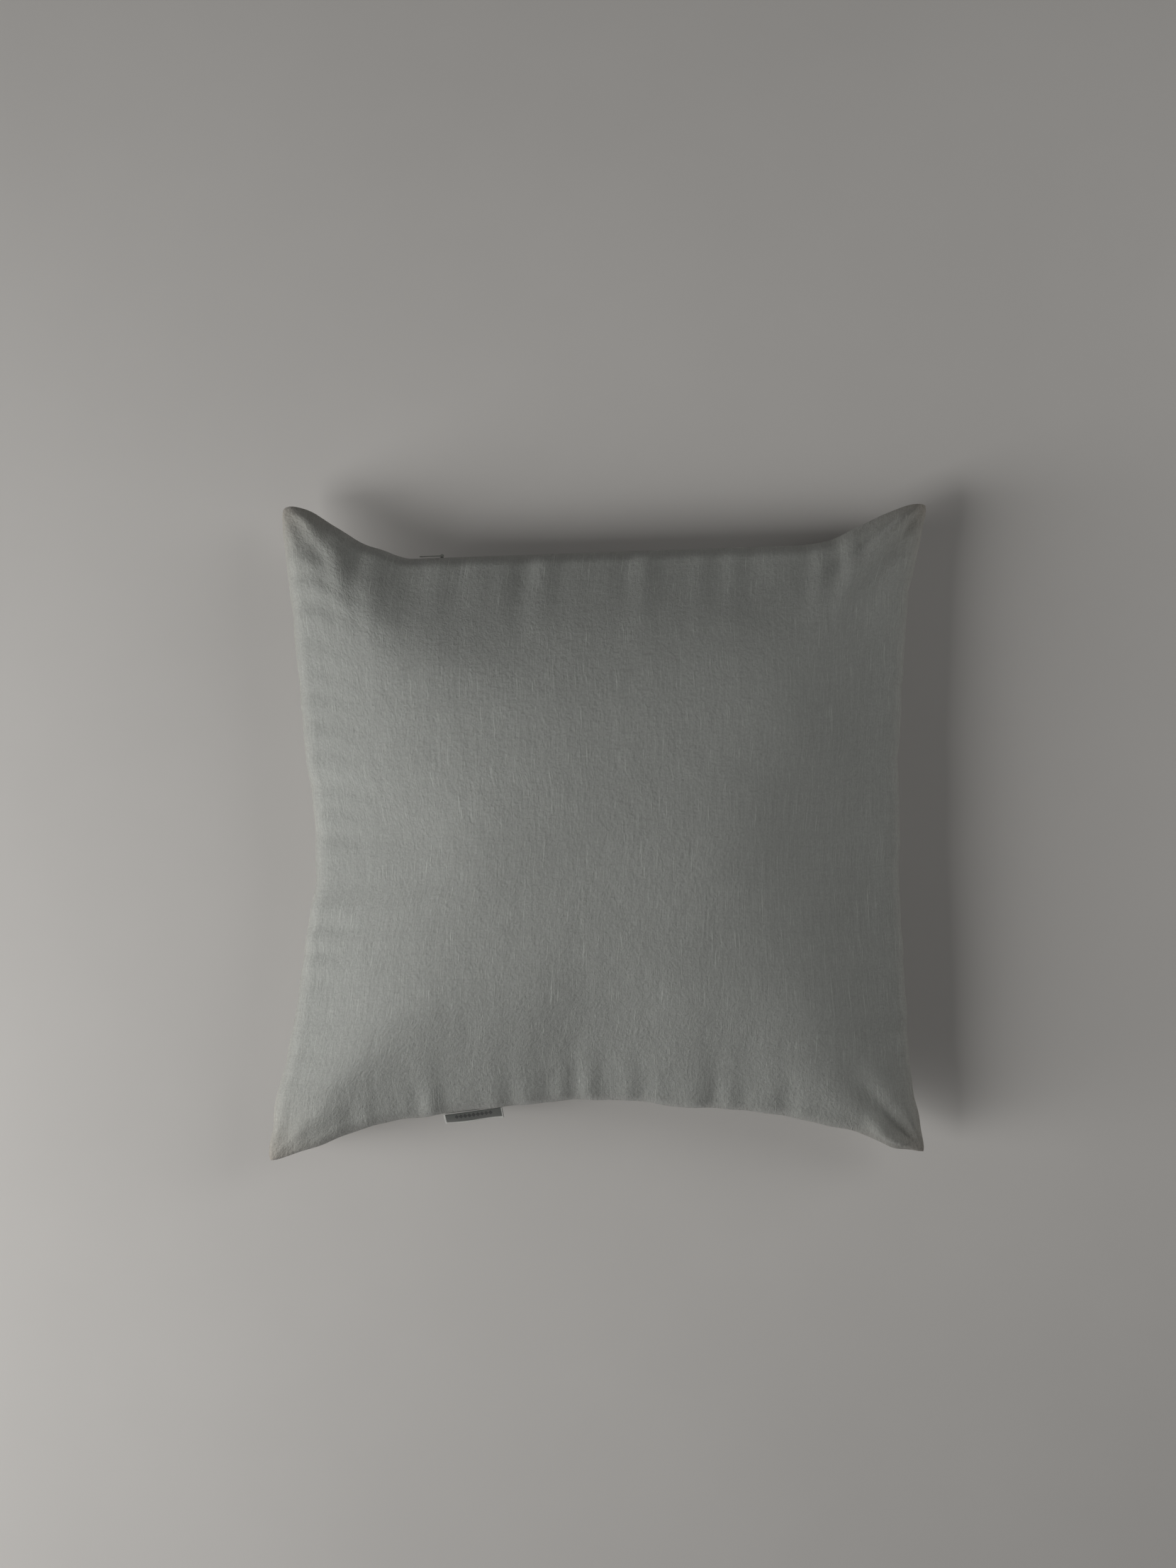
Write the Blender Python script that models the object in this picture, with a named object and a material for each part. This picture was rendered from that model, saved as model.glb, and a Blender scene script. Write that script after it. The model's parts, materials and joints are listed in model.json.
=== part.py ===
"""A 65 cm floor cushion: a zipped linen-look cover over a separate, filled inner pad.

Every layer of the cushion is a function of two cloth coordinates u and v, which run from -1 to 1
across the square panels, u to the right and v towards the zipped edge. plan() carries (u, v) to
the sewn outline, with its four tips and pulled-in edges, and dome() gives the crown above or
below the seam. Square rings of points, each ring a smaller share of the panel, are joined into
closed shells. The zip, the label and the care label are built in the frame of the edge that they
are sewn into: x along the edge, y out of the cushion, z up.

Units are metres, +Z is up, and the cushion rests on z = 0 with its outline centred on the origin.
"""

import math

import bmesh
import bpy
import numpy as np
from mathutils import Matrix, Vector

# Overall form
THICKNESS = 0.180
SEAM_HEIGHT = 0.074
TIP_DROOP = 0.016
LEVEL_SHARE = 0.63
CROWN_POWER = 0.5

# Outline: the four tips, then how far each edge is pulled in and how rounded that pull is
TIP_NEAR_LEFT = (-0.327, -0.327)
TIP_NEAR_RIGHT = (0.325, -0.318)
TIP_FAR_LEFT = (-0.314, 0.324)
TIP_FAR_RIGHT = (0.327, 0.327)
NEAR_PULL, NEAR_ROUNDING = 0.059, 2.2
LEFT_PULL, LEFT_ROUNDING_BELOW, LEFT_ROUNDING_ABOVE = 0.0435, 1.5, 1.1
RIGHT_PULL, RIGHT_ROUNDING = 0.030, 3.0
FAR_EDGE_Y = 0.2757
FAR_EDGE_SLOPE = math.tan(math.radians(2.0))
STRAIGHT_SHARE = 0.60
HALF_WIDTH = 0.28

# Cover cloth and its seam
CLOTH = 0.0009
LIP_GAP = 0.0024
EDGE_RISE = 0.0040
ZIP_EDGE_RISE = 0.0052
ZIP_ALLOWANCE_LIFT = 0.0025
LIP_BACK = 0.0015
LIP_BACK_PULL = 0.00055
ALLOWANCE = 0.0120
FOLD_DEPTH = 0.0030
BOTTOM_CROWN = 0.086
SEAM_THREAD = 0.0005
SEAM_THREAD_INSET = 0.0015
OVERLOCK_THREAD = 0.0009
CLEARANCE = 0.0003

# Inner pad
PAD_REACH = 0.92
PAD_CLOTH = 0.0010
PAD_CLEARANCE = 0.0025
PAD_BASE = 0.0015
PAD_FLOOR = 0.0025
PAD_BOTTOM_CROWN = 0.086
PAD_THREAD = 0.0006
PAD_THREAD_REACH = 0.915
FILLING_REACH = 0.90
FILLING_CLEARANCE = 0.0020

# Zip, in the frame of the far edge
ZIP_WINDOW = 0.585
ZIP_WINDOW_END = 0.625
TAPE_LENGTH = 0.346
TAPE_WIDTH = 0.0118
TAPE_CLOTH = 0.0004
TAPE_LEVEL = 0.0024
TAPE_FRONT = 0.00125
TAPE_HALF_SLOT = 0.0008
ROW_LENGTH = 0.332
ROW_FRONT = 0.00195
ROW_DEPTH = 0.00145
ROW_INNER = 0.00015
ROW_OUTER = 0.0021
ROW_PARTED = 0.0008
SLIDER_REST = -0.160
SLIDER_LENGTH = 0.009
SLIDER_PLATE_BACK = 0.0050
SLIDER_PLATE_FRONT = 0.0038
SLIDER_PLATE_HALF_HEIGHT = 0.00195
NECK_HALF_LENGTH = 0.0013
NECK_HALF_HEIGHT = 0.0005
NECK_BITE = 0.0004
DIAMOND_HALF_LENGTH = 0.0025
BAIL_OUT = 0.0024
BAIL_RADIUS = 0.0019
BAIL_HOLE = 0.0009
BAIL_HALF_HEIGHT = 0.00052
PULL_PIN_RADIUS = 0.00055
PULL_LENGTH = 0.022
PULL_HALF_WIDTH = 0.0025
PULL_THICKNESS = 0.0010
PULL_ARM_INNER = 0.0009
PULL_PLATE_START = 0.0024
STOP_LENGTH = 0.0020
STOP_GAP = 0.0004
ZIP_THREAD = 0.0003
ZIP_THREAD_LEVEL = 0.00325
ZIP_THREAD_INSET = 0.0070
TACK_LENGTH = 0.0020
TACK_GAP = 0.0025
TACK_DEPTH = 0.0080
TACK_HALF_HEIGHT = 0.00085

# Labels
LABEL_SPAN = (-0.47, -0.28)
LABEL_WIDTH = 0.058
LABEL_LENGTH = 0.016
LABEL_PLY = 0.00035
LABEL_SLIT = 0.0003
LABEL_HINGE_OUT = 0.0009
LABEL_DROOP = math.radians(-48)
LABEL_ROOT = 0.0003
TAIL_START = 0.0023
TAIL_END = 0.0100
CARE_SPAN = (0.0, 0.28)
CARE_WIDTH = 0.032
CARE_END = 0.0165
CARE_CLOTH = 0.0003

# Where the rings have their points along each side, and how far out the rings lie
COVER_STEPS = (-1, -0.9, -0.77, -0.625, -0.585, -0.47, -0.28, 0, 0.28, 0.47, 0.585, 0.625, 0.77, 0.9)
COVER_RINGS = (0, 0.2, 0.36, 0.5, 0.65, 0.79, 0.9, 0.96, 0.985)
PAD_STEPS = (-1, -0.9, -0.78, -0.65, -0.5, -0.25, 0, 0.25, 0.5, 0.65, 0.78, 0.9)
PAD_RINGS = (0, 0.25, 0.48, 0.7, 0.87, 0.96, 1.0)


def clear_scene():
    """Remove every object, so that only the cushion is left."""
    for thing in list(bpy.data.objects):
        bpy.data.objects.remove(thing, do_unlink=True)


def material(name, color, roughness, metallic=0.0):
    """A Principled material of one colour."""
    made = bpy.data.materials.new(name)
    made.use_nodes = True
    shader = made.node_tree.nodes["Principled BSDF"]
    shader.inputs["Base Color"].default_value = (*color, 1.0)
    shader.inputs["Roughness"].default_value = roughness
    shader.inputs["Metallic"].default_value = metallic
    return made


def add_object(name, mesh, finish):
    """Link a mesh to the scene under the name of its sub-part."""
    thing = bpy.data.objects.new(name, mesh)
    mesh.materials.append(finish)
    bpy.context.scene.collection.objects.link(thing)
    return thing


# The cushion's form

def seam_height(u, v):
    """Height of the seam plane: level, with the four tips drooping."""
    def towards_tip(share):
        return np.clip((np.abs(share) - LEVEL_SHARE) / (1 - LEVEL_SHARE), 0, 1) ** 2
    return SEAM_HEIGHT - TIP_DROOP * towards_tip(u) * towards_tip(v)


def along(start, end, share):
    """Points on the straight line between two tips; share runs from -1 to 1."""
    mix = (np.asarray(share, float)[..., None] + 1) / 2
    return np.asarray(start) * (1 - mix) + np.asarray(end) * mix


def near_edge(u):
    """The edge with the label, pulled towards +y."""
    points = along(TIP_NEAR_LEFT, TIP_NEAR_RIGHT, u)
    points[..., 1] += NEAR_PULL * (1 - np.abs(u) ** NEAR_ROUNDING)
    return points


def far_edge(u):
    """The zipped edge: a straight stretch that sweeps out to the tips at both ends."""
    points = along(TIP_FAR_LEFT, TIP_FAR_RIGHT, u)
    line = FAR_EDGE_Y + FAR_EDGE_SLOPE * points[..., 0]
    left_rise = TIP_FAR_LEFT[1] - (FAR_EDGE_Y + FAR_EDGE_SLOPE * TIP_FAR_LEFT[0])
    right_rise = TIP_FAR_RIGHT[1] - (FAR_EDGE_Y + FAR_EDGE_SLOPE * TIP_FAR_RIGHT[0])
    past_straight = np.clip((np.abs(u) - STRAIGHT_SHARE) / (1 - STRAIGHT_SHARE), 0, 1)
    rise = np.where(np.asarray(u) < 0, left_rise, right_rise)
    points[..., 1] = line + rise * past_straight ** 2 * (3 - 2 * past_straight)
    return points


def left_edge(v):
    """The left edge, pulled towards +x, with a straighter run above its middle than below."""
    points = along(TIP_NEAR_LEFT, TIP_FAR_LEFT, v)
    rounding = np.where(np.asarray(v) > 0, LEFT_ROUNDING_ABOVE, LEFT_ROUNDING_BELOW)
    points[..., 0] += LEFT_PULL * (1 - np.abs(v) ** rounding)
    return points


def right_edge(v):
    """The right edge, pulled towards -x."""
    points = along(TIP_NEAR_RIGHT, TIP_FAR_RIGHT, v)
    points[..., 0] -= RIGHT_PULL * (1 - np.abs(v) ** RIGHT_ROUNDING)
    return points


def plan(u, v):
    """Carry cloth coordinates to x and y: a Coons patch between the four edges."""
    a = ((u + 1) / 2)[..., None]
    b = ((v + 1) / 2)[..., None]
    tips = ((1 - a) * (1 - b) * np.asarray(TIP_NEAR_LEFT) + a * (1 - b) * np.asarray(TIP_NEAR_RIGHT)
            + (1 - a) * b * np.asarray(TIP_FAR_LEFT) + a * b * np.asarray(TIP_FAR_RIGHT))
    return ((1 - b) * near_edge(u) + b * far_edge(u)
            + (1 - a) * left_edge(v) + a * right_edge(v) - tips)


def dome(u, v):
    """The crown: 1 in the middle, 0 along all four edges, steep beside them."""
    return np.clip((1 - u ** 2) * (1 - v ** 2), 0, 1) ** CROWN_POWER


def square_ring(steps):
    """Cloth coordinates once round the square, starting at the near left tip."""
    run = np.array(steps, float)
    edge = np.ones_like(run)
    u = np.concatenate([run, edge, -run, -edge])
    v = np.concatenate([-edge, run, edge, -run])
    return u, v


def share_at(inset):
    """The ring that lies this far inside the seam."""
    return 1 - inset / HALF_WIDTH


def zip_window(u, v):
    """1 along the zip, 0 elsewhere, with a short slope at both of its ends."""
    return np.clip((ZIP_WINDOW_END - np.abs(u)) / (ZIP_WINDOW_END - ZIP_WINDOW), 0, 1) * (v > 0)


def ring(u, v, share, height):
    """One ring: its points in plan at this share of the panel, at the heights given."""
    return np.column_stack([plan(u * share, v * share), height])


def shell_mesh(name, rings):
    """Join rings of equal length into a closed mesh; the first and last ring are single points."""
    mesh = bmesh.new()
    rows = [[mesh.verts.new(point) for point in points] for points in rings]
    for row, following in zip(rows, rows[1:]):
        for here, after in zip(range(len(row)), list(range(1, len(row))) + [0]):
            mesh.faces.new((row[here], following[here], following[after], row[after]))
    bmesh.ops.remove_doubles(mesh, verts=mesh.verts, dist=0.000001)
    if mesh.calc_volume(signed=True) < 0:
        bmesh.ops.reverse_faces(mesh, faces=mesh.faces)
    made = bpy.data.meshes.new(name)
    mesh.to_mesh(made)
    mesh.free()
    made.shade_smooth()
    made.set_sharp_from_angle(angle=math.radians(40))
    return made


# Cover

def allowance_level(window):
    """Distance from the seam plane to the face of a turned-in allowance."""
    return LIP_GAP / 2 + ZIP_ALLOWANCE_LIFT * window


def panel_rings(side, crown, floor):
    """The closed skin of one cover panel, from the outside centre round to the inside centre.

    side is 1 for the top panel and -1 for the bottom one. The skin runs down the outside of the
    dome, round the lip at the seam, back along the turned-in allowance and up the inside.
    """
    u, v = square_ring(COVER_STEPS)
    window = zip_window(u, v)
    level = allowance_level(window)

    def skin(share, lift, shrink, lowest):
        height = (seam_height(u * share, v * share)
                  + side * (EDGE_RISE - lift + crown * dome(u * share, v * share)))
        return ring(u, v, share * shrink, np.maximum(height, lowest))

    def at(inset, offset):
        share = share_at(inset)
        return ring(u, v, share, seam_height(u * share, v * share) + side * offset)

    outside = [skin(share, 0.0, 1.0, floor) for share in COVER_RINGS]
    edge_top = EDGE_RISE + (ZIP_EDGE_RISE - EDGE_RISE) * window
    lip = [
        at(0.0, edge_top),
        at(0.0, LIP_GAP / 2),
        at(CLOTH, LIP_GAP / 2),
        at(LIP_BACK - LIP_BACK_PULL * window, level),
        at(ALLOWANCE, level),
        at(ALLOWANCE, level + CLOTH),
        at(FOLD_DEPTH, level + CLOTH),
    ]
    inside = [skin(share, CLOTH, share_at(CLOTH), floor + CLOTH) for share in reversed(COVER_RINGS)]
    return outside + lip + inside


def make_cover(cloth):
    """The two panels of the cover."""
    top_crown = THICKNESS - SEAM_HEIGHT - EDGE_RISE
    top = panel_rings(1, top_crown, 0.0)
    bottom = panel_rings(-1, BOTTOM_CROWN, 0.0)
    add_object("cover_top_panel", shell_mesh("cover_top_panel", top), cloth)
    add_object("cover_bottom_panel", shell_mesh("cover_bottom_panel", bottom), cloth)


def thread(name, points, diameter, finish, cyclic):
    """A thread: a round curve through the points, its ends filled unless it is a loop."""
    curve = bpy.data.curves.new(name, "CURVE")
    curve.dimensions = "3D"
    curve.bevel_depth = diameter / 2
    curve.bevel_resolution = 0
    curve.use_fill_caps = True
    line = curve.splines.new("POLY")
    line.points.add(len(points) - 1)
    for point, place in zip(line.points, points):
        point.co = (*place, 1.0)
    line.use_cyclic_u = cyclic
    thing = bpy.data.objects.new(name, curve)
    curve.materials.append(finish)
    bpy.context.scene.collection.objects.link(thing)
    return thing


def make_cover_threads(finish):
    """The seam's stitching, which stops at both ends of the zip, and the overlocked raw edges."""
    u, v = square_ring(COVER_STEPS)
    share = share_at(SEAM_THREAD_INSET)
    line = ring(u, v, share, seam_height(u * share, v * share))
    zip_points = np.flatnonzero((v == 1) & (np.abs(u) < ZIP_WINDOW_END))
    start = zip_points[-1] + 1
    line = np.roll(line, -start, axis=0)[:len(line) - len(zip_points)]
    thread("cover_seam_thread", line, SEAM_THREAD, finish, False)
    edge = share_at(ALLOWANCE + CLEARANCE + OVERLOCK_THREAD / 2)
    level = allowance_level(zip_window(u, v)) + CLOTH / 2
    for side, name in ((1, "overlock_thread_top"), (-1, "overlock_thread_bottom")):
        loop = ring(u, v, edge, seam_height(u * edge, v * edge) + side * level)
        thread(name, loop, OVERLOCK_THREAD, finish, True)


# Inner pad

def pad_skin(side, reach, base, crown, lowest):
    """Rings of one face of the pad, from its middle out to its edge."""
    u, v = square_ring(PAD_STEPS)
    rings = []
    for share in PAD_RINGS:
        height = (seam_height(u * share * reach, v * share * reach)
                  + side * (base + crown * dome(u * share, v * share)))
        rings.append(ring(u, v, share * reach, np.maximum(height, lowest)))
    return rings


def make_pad(cotton, thread_finish, fibre):
    """The inner pad: a casing of two panels, its seam thread and the filling."""
    casing_crown = THICKNESS - CLOTH - PAD_CLEARANCE - SEAM_HEIGHT - PAD_BASE
    inner_reach = PAD_REACH * share_at(PAD_CLOTH)
    faces = (
        ("inner_casing_top", 1, casing_crown, 0.0),
        ("inner_casing_bottom", -1, PAD_BOTTOM_CROWN, PAD_FLOOR),
    )
    for name, side, crown, floor in faces:
        outside = pad_skin(side, PAD_REACH, PAD_BASE, crown, floor)
        inside = pad_skin(side, inner_reach, PAD_BASE - PAD_CLOTH, crown, floor + PAD_CLOTH)
        add_object(name, shell_mesh(name, outside + inside[::-1]), cotton)

    u, v = square_ring(PAD_STEPS)
    share = PAD_THREAD_REACH
    line = ring(u, v, share, seam_height(u * share, v * share))
    thread("inner_seam_thread", line, PAD_THREAD, thread_finish, True)

    inset = PAD_CLOTH + FILLING_CLEARANCE
    above = pad_skin(1, FILLING_REACH, PAD_BASE, casing_crown - inset, 0.0)
    below = pad_skin(-1, FILLING_REACH, PAD_BASE, PAD_BOTTOM_CROWN - inset, PAD_FLOOR + inset)
    add_object("fibre_filling", shell_mesh("fibre_filling", above + below[::-1]), fibre)


# Pieces sewn into an edge

def edge_frame(edge, span):
    """An empty on a stretch of an edge: x along it, y out of the cushion, z up."""
    first, last = edge(np.array(span[0])), edge(np.array(span[1]))
    middle = (first + last) / 2
    run = (last - first) / np.linalg.norm(last - first)
    outward = np.array([run[1], -run[0]])
    if outward @ middle < 0:
        outward = -outward
    turn = math.atan2(outward[1], outward[0]) - math.pi / 2
    frame = bpy.data.objects.new(f"{edge.__name__}_frame", None)
    frame.location = (*middle, SEAM_HEIGHT)
    frame.rotation_euler = (0, 0, turn)
    bpy.context.scene.collection.objects.link(frame)
    return frame


def prism(name, outline, low, high, axis):
    """Extrude an outline along an axis; the outline holds the other two coordinates in order."""
    mesh = bmesh.new()
    order = {"x": (2, 0, 1), "y": (0, 2, 1), "z": (0, 1, 2)}[axis]
    corners = []
    for first, second in outline:
        values = (first, second, low)
        corners.append(mesh.verts.new(tuple(values[place] for place in order)))
    face = mesh.faces.new(corners)
    extruded = bmesh.ops.extrude_face_region(mesh, geom=[face])
    moved = [item for item in extruded["geom"] if isinstance(item, bmesh.types.BMVert)]
    shift = Vector((0, 0, 0))
    shift["xyz".index(axis)] = high - low
    bmesh.ops.translate(mesh, vec=shift, verts=moved)
    bmesh.ops.recalc_face_normals(mesh, faces=mesh.faces)
    made = bpy.data.meshes.new(name)
    mesh.to_mesh(made)
    mesh.free()
    return made


def box(name, low, high):
    """A box between two corners."""
    outline = [(low[0], low[1]), (high[0], low[1]), (high[0], high[1]), (low[0], high[1])]
    return prism(name, outline, low[2], high[2], "z")


def cylinder(name, radius, low, high, center, axis, sides=16):
    """A round bar along an axis, its centre given by the other two coordinates in order."""
    outline = []
    for step in range(sides):
        angle = 2 * math.pi * step / sides
        outline.append((center[0] + radius * math.cos(angle), center[1] + radius * math.sin(angle)))
    return prism(name, outline, low, high, axis)


def place(name, mesh, finish, frame, origin=(0, 0, 0)):
    """Put a piece in an edge's frame, with its own origin at the point given."""
    mesh.transform(Matrix.Translation(-Vector(origin)))
    thing = add_object(name, mesh, finish)
    thing.parent = frame
    thing.location = origin
    return thing


def combine(thing, mesh, operation):
    """Join a mesh to a placed object, or cut the object with it, by a Boolean modifier."""
    tool = bpy.data.objects.new(f"{mesh.name}_tool", mesh)
    mesh.transform(Matrix.Translation(-thing.location))
    tool.parent = thing.parent
    tool.location = thing.location
    tool.hide_render = True
    tool.display_type = "WIRE"
    bpy.context.scene.collection.objects.link(tool)
    change = thing.modifiers.new(mesh.name, "BOOLEAN")
    change.operation = operation
    change.object = tool


def make_zip_halves(frame, tape, filament, stitching):
    """Both halves of the chain: folded tape, coil row, end stop and the stitching to the cover."""
    half_tape = TAPE_LENGTH / 2
    half_row = ROW_LENGTH / 2
    for side, half in ((1, "upper"), (-1, "lower")):
        outer = TAPE_LEVEL + TAPE_CLOTH
        back = TAPE_FRONT + TAPE_WIDTH
        folded = [
            (-TAPE_FRONT, side * TAPE_HALF_SLOT),
            (-TAPE_FRONT, side * outer),
            (-back, side * outer),
            (-back, side * TAPE_LEVEL),
            (-TAPE_FRONT - TAPE_CLOTH, side * TAPE_LEVEL),
            (-TAPE_FRONT - TAPE_CLOTH, side * TAPE_HALF_SLOT),
        ]
        name = f"zip_tape_{half}"
        place(name, prism(name, folded, -half_tape, half_tape, "x"), tape, frame)

        parted = [
            (-half_row, side * ROW_OUTER),
            (-half_row, side * ROW_PARTED),
            (SLIDER_REST + DIAMOND_HALF_LENGTH, side * ROW_PARTED),
            (SLIDER_REST + 2 * DIAMOND_HALF_LENGTH, side * ROW_INNER),
            (half_row, side * ROW_INNER),
            (half_row, side * ROW_OUTER),
        ]
        name = f"zip_coil_{half}"
        row = prism(name, parted, -ROW_FRONT - ROW_DEPTH, -ROW_FRONT, "y")
        place(name, row, filament, frame)

        stop_end = -half_row - STOP_GAP
        name = f"zip_top_stop_{half}"
        stop = box(
            name,
            (stop_end - STOP_LENGTH, -ROW_FRONT - ROW_DEPTH, min(side * ROW_PARTED, side * ROW_OUTER)),
            (stop_end, -ROW_FRONT, max(side * ROW_PARTED, side * ROW_OUTER)),
        )
        place(name, stop, filament, frame)

        name = f"zip_stitching_{half}"
        stitch = cylinder(name, ZIP_THREAD / 2, -half_tape, half_tape,
                          (-ZIP_THREAD_INSET, side * ZIP_THREAD_LEVEL), "x", 8)
        place(name, stitch, stitching, frame)


def make_zip_ends(frame, filament, stitching):
    """The stop at the open end, and the bar tacks that close the seam past both ends."""
    start = ROW_LENGTH / 2 + STOP_GAP
    stop = box(
        "zip_bottom_stop",
        (start, -ROW_FRONT - ROW_DEPTH, -ROW_OUTER),
        (start + STOP_LENGTH, -ROW_FRONT - CLEARANCE, ROW_OUTER),
    )
    place("zip_bottom_stop", stop, filament, frame)
    reach = TAPE_LENGTH / 2 + TACK_GAP
    for start, name in ((-reach - TACK_LENGTH, "bar_tack_left"), (reach, "bar_tack_right")):
        tack = box(
            name,
            (start, -CLOTH - TACK_DEPTH, -TACK_HALF_HEIGHT),
            (start + TACK_LENGTH, -CLOTH, TACK_HALF_HEIGHT),
        )
        place(name, tack, stitching, frame)


def make_slider(frame, painted):
    """The slider: a plate behind the coils, a diamond that parts them, and a bail outside."""
    rest = (SLIDER_REST, 0, 0)
    half = SLIDER_LENGTH / 2
    plate = box(
        "zip_slider",
        (SLIDER_REST - half, -SLIDER_PLATE_BACK, -SLIDER_PLATE_HALF_HEIGHT),
        (SLIDER_REST + half, -SLIDER_PLATE_FRONT, SLIDER_PLATE_HALF_HEIGHT),
    )
    slider = place("zip_slider", plate, painted, frame, rest)
    diamond = [
        (SLIDER_REST - DIAMOND_HALF_LENGTH, 0),
        (SLIDER_REST - NECK_HALF_LENGTH, NECK_HALF_HEIGHT),
        (SLIDER_REST + NECK_HALF_LENGTH, NECK_HALF_HEIGHT),
        (SLIDER_REST + DIAMOND_HALF_LENGTH, 0),
        (SLIDER_REST + NECK_HALF_LENGTH, -NECK_HALF_HEIGHT),
        (SLIDER_REST - NECK_HALF_LENGTH, -NECK_HALF_HEIGHT),
    ]
    neck = prism("zip_slider_diamond", diamond, -SLIDER_PLATE_FRONT - NECK_BITE,
                 BAIL_OUT - BAIL_HOLE - NECK_BITE, "y")
    combine(slider, neck, "UNION")
    ears = cylinder("zip_slider_bail", BAIL_RADIUS, -BAIL_HALF_HEIGHT, BAIL_HALF_HEIGHT,
                    (SLIDER_REST, BAIL_OUT), "z", 20)
    combine(slider, ears, "UNION")
    hole = cylinder("zip_slider_eye", BAIL_HOLE, -2 * NECK_HALF_HEIGHT, 2 * NECK_HALF_HEIGHT,
                    (SLIDER_REST, BAIL_OUT), "z", 16)
    combine(slider, hole, "DIFFERENCE")
    return slider


def make_pull(frame, painted):
    """The pull tab: a tapered plate with a window at its root and a pin through the bail."""
    hinge = (SLIDER_REST, BAIL_OUT, 0)
    root = SLIDER_REST + PULL_PIN_RADIUS
    tip = SLIDER_REST - PULL_LENGTH
    half = PULL_HALF_WIDTH
    outline = [
        (root, 0.9 * half),
        (root, -0.9 * half),
        (tip + half, -half),
        (tip + 0.3 * half, -0.75 * half),
        (tip, -0.3 * half),
        (tip, 0.3 * half),
        (tip + 0.3 * half, 0.75 * half),
        (tip + half, half),
    ]
    blade = prism("zip_pull_tab", outline, BAIL_OUT - PULL_THICKNESS / 2,
                  BAIL_OUT + PULL_THICKNESS / 2, "y")
    pull = place("zip_pull_tab", blade, painted, frame, hinge)
    window = box(
        "zip_pull_window",
        (SLIDER_REST - PULL_PLATE_START, BAIL_OUT - PULL_THICKNESS, -PULL_ARM_INNER),
        (SLIDER_REST + 2 * BAIL_RADIUS, BAIL_OUT + PULL_THICKNESS, PULL_ARM_INNER),
    )
    combine(pull, window, "DIFFERENCE")
    pin = cylinder("zip_pull_pin", PULL_PIN_RADIUS, -0.85 * half, 0.85 * half,
                   (SLIDER_REST, BAIL_OUT), "z", 12)
    combine(pull, pin, "UNION")
    return pull


def make_side_label(frame, satin):
    """The folded label that hangs out of the seam, and its end inside the seam."""
    half = LABEL_WIDTH / 2
    low = LABEL_HINGE_OUT - LABEL_ROOT
    high = LABEL_HINGE_OUT + LABEL_LENGTH
    inner = LABEL_SLIT / 2
    outer = inner + LABEL_PLY
    folded = [
        (low, inner),
        (low, outer),
        (high - outer, outer),
        (high - 0.3 * outer, 0.7 * outer),
        (high, 0),
        (high - 0.3 * outer, -0.7 * outer),
        (high - outer, -outer),
        (low, -outer),
        (low, -inner),
        (high - outer, -inner),
        (high - outer, inner),
    ]
    hinge = (0, LABEL_HINGE_OUT, 0)
    flap = place("side_label", prism("side_label", folded, -half, half, "x"), satin, frame, hinge)
    flap.rotation_euler = (LABEL_DROOP, 0, 0)
    tail = box("side_label_sewn_end", (-half, -TAIL_END, -outer), (half, -TAIL_START, outer))
    place("side_label_sewn_end", tail, satin, frame)


def make_care_label(frame, ribbon):
    """The care label, sewn into the seam and lying inside the cover."""
    half = CARE_WIDTH / 2
    tag = box("care_label", (-half, -CARE_END, -CARE_CLOTH / 2), (half, -TAIL_START, CARE_CLOTH / 2))
    place("care_label", tag, ribbon, frame)


def main():
    """Build the cushion."""
    clear_scene()
    cloth = material("linen_cover", (0.155, 0.16, 0.145), 0.85)
    sewing = material("sewing_thread", (0.13, 0.135, 0.12), 0.7)
    cotton = material("inner_casing_cotton", (0.75, 0.74, 0.70), 0.9)
    fibre = material("polyester_fibre", (0.86, 0.86, 0.85), 0.95)
    tape = material("zip_tape", (0.14, 0.145, 0.13), 0.8)
    filament = material("zip_filament", (0.16, 0.165, 0.15), 0.4)
    painted = material("zip_slider_paint", (0.15, 0.155, 0.14), 0.35, 0.3)
    satin = material("label_satin", (0.10, 0.105, 0.095), 0.4)
    ribbon = material("care_ribbon", (0.8, 0.8, 0.78), 0.5)

    make_cover(cloth)
    make_cover_threads(sewing)
    make_pad(cotton, sewing, fibre)

    zip_frame = edge_frame(far_edge, (-ZIP_WINDOW, ZIP_WINDOW))
    make_zip_halves(zip_frame, tape, filament, sewing)
    make_zip_ends(zip_frame, filament, sewing)
    make_slider(zip_frame, painted)
    make_pull(zip_frame, painted)

    make_side_label(edge_frame(near_edge, LABEL_SPAN), satin)
    make_care_label(edge_frame(left_edge, CARE_SPAN), ribbon)
    bpy.context.view_layer.update()


main()
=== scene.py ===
"""The looks of a 65 cm floor cushion: a zipped linen cover over a separate, filled inner pad.

Every layer is a surface over two cloth coordinates u and v, which run from -1 to 1 across the
square panels, u to the right and v towards the zipped edge. The stuffed form is a plain dome, with a
softened share of one cloth simulation of the two joined panels added. Its border is carried to the
sewn outline, and the cover, the casing and the filling are all read from it. The zip, the label and the care
label are built in the frame of the edge that they are sewn into: x along the edge, y out of the
cushion, z up. Units are metres.
"""

from __future__ import annotations

import json
import logging
import math
from dataclasses import dataclass, field
from enum import Enum
from typing import Sequence

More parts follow.
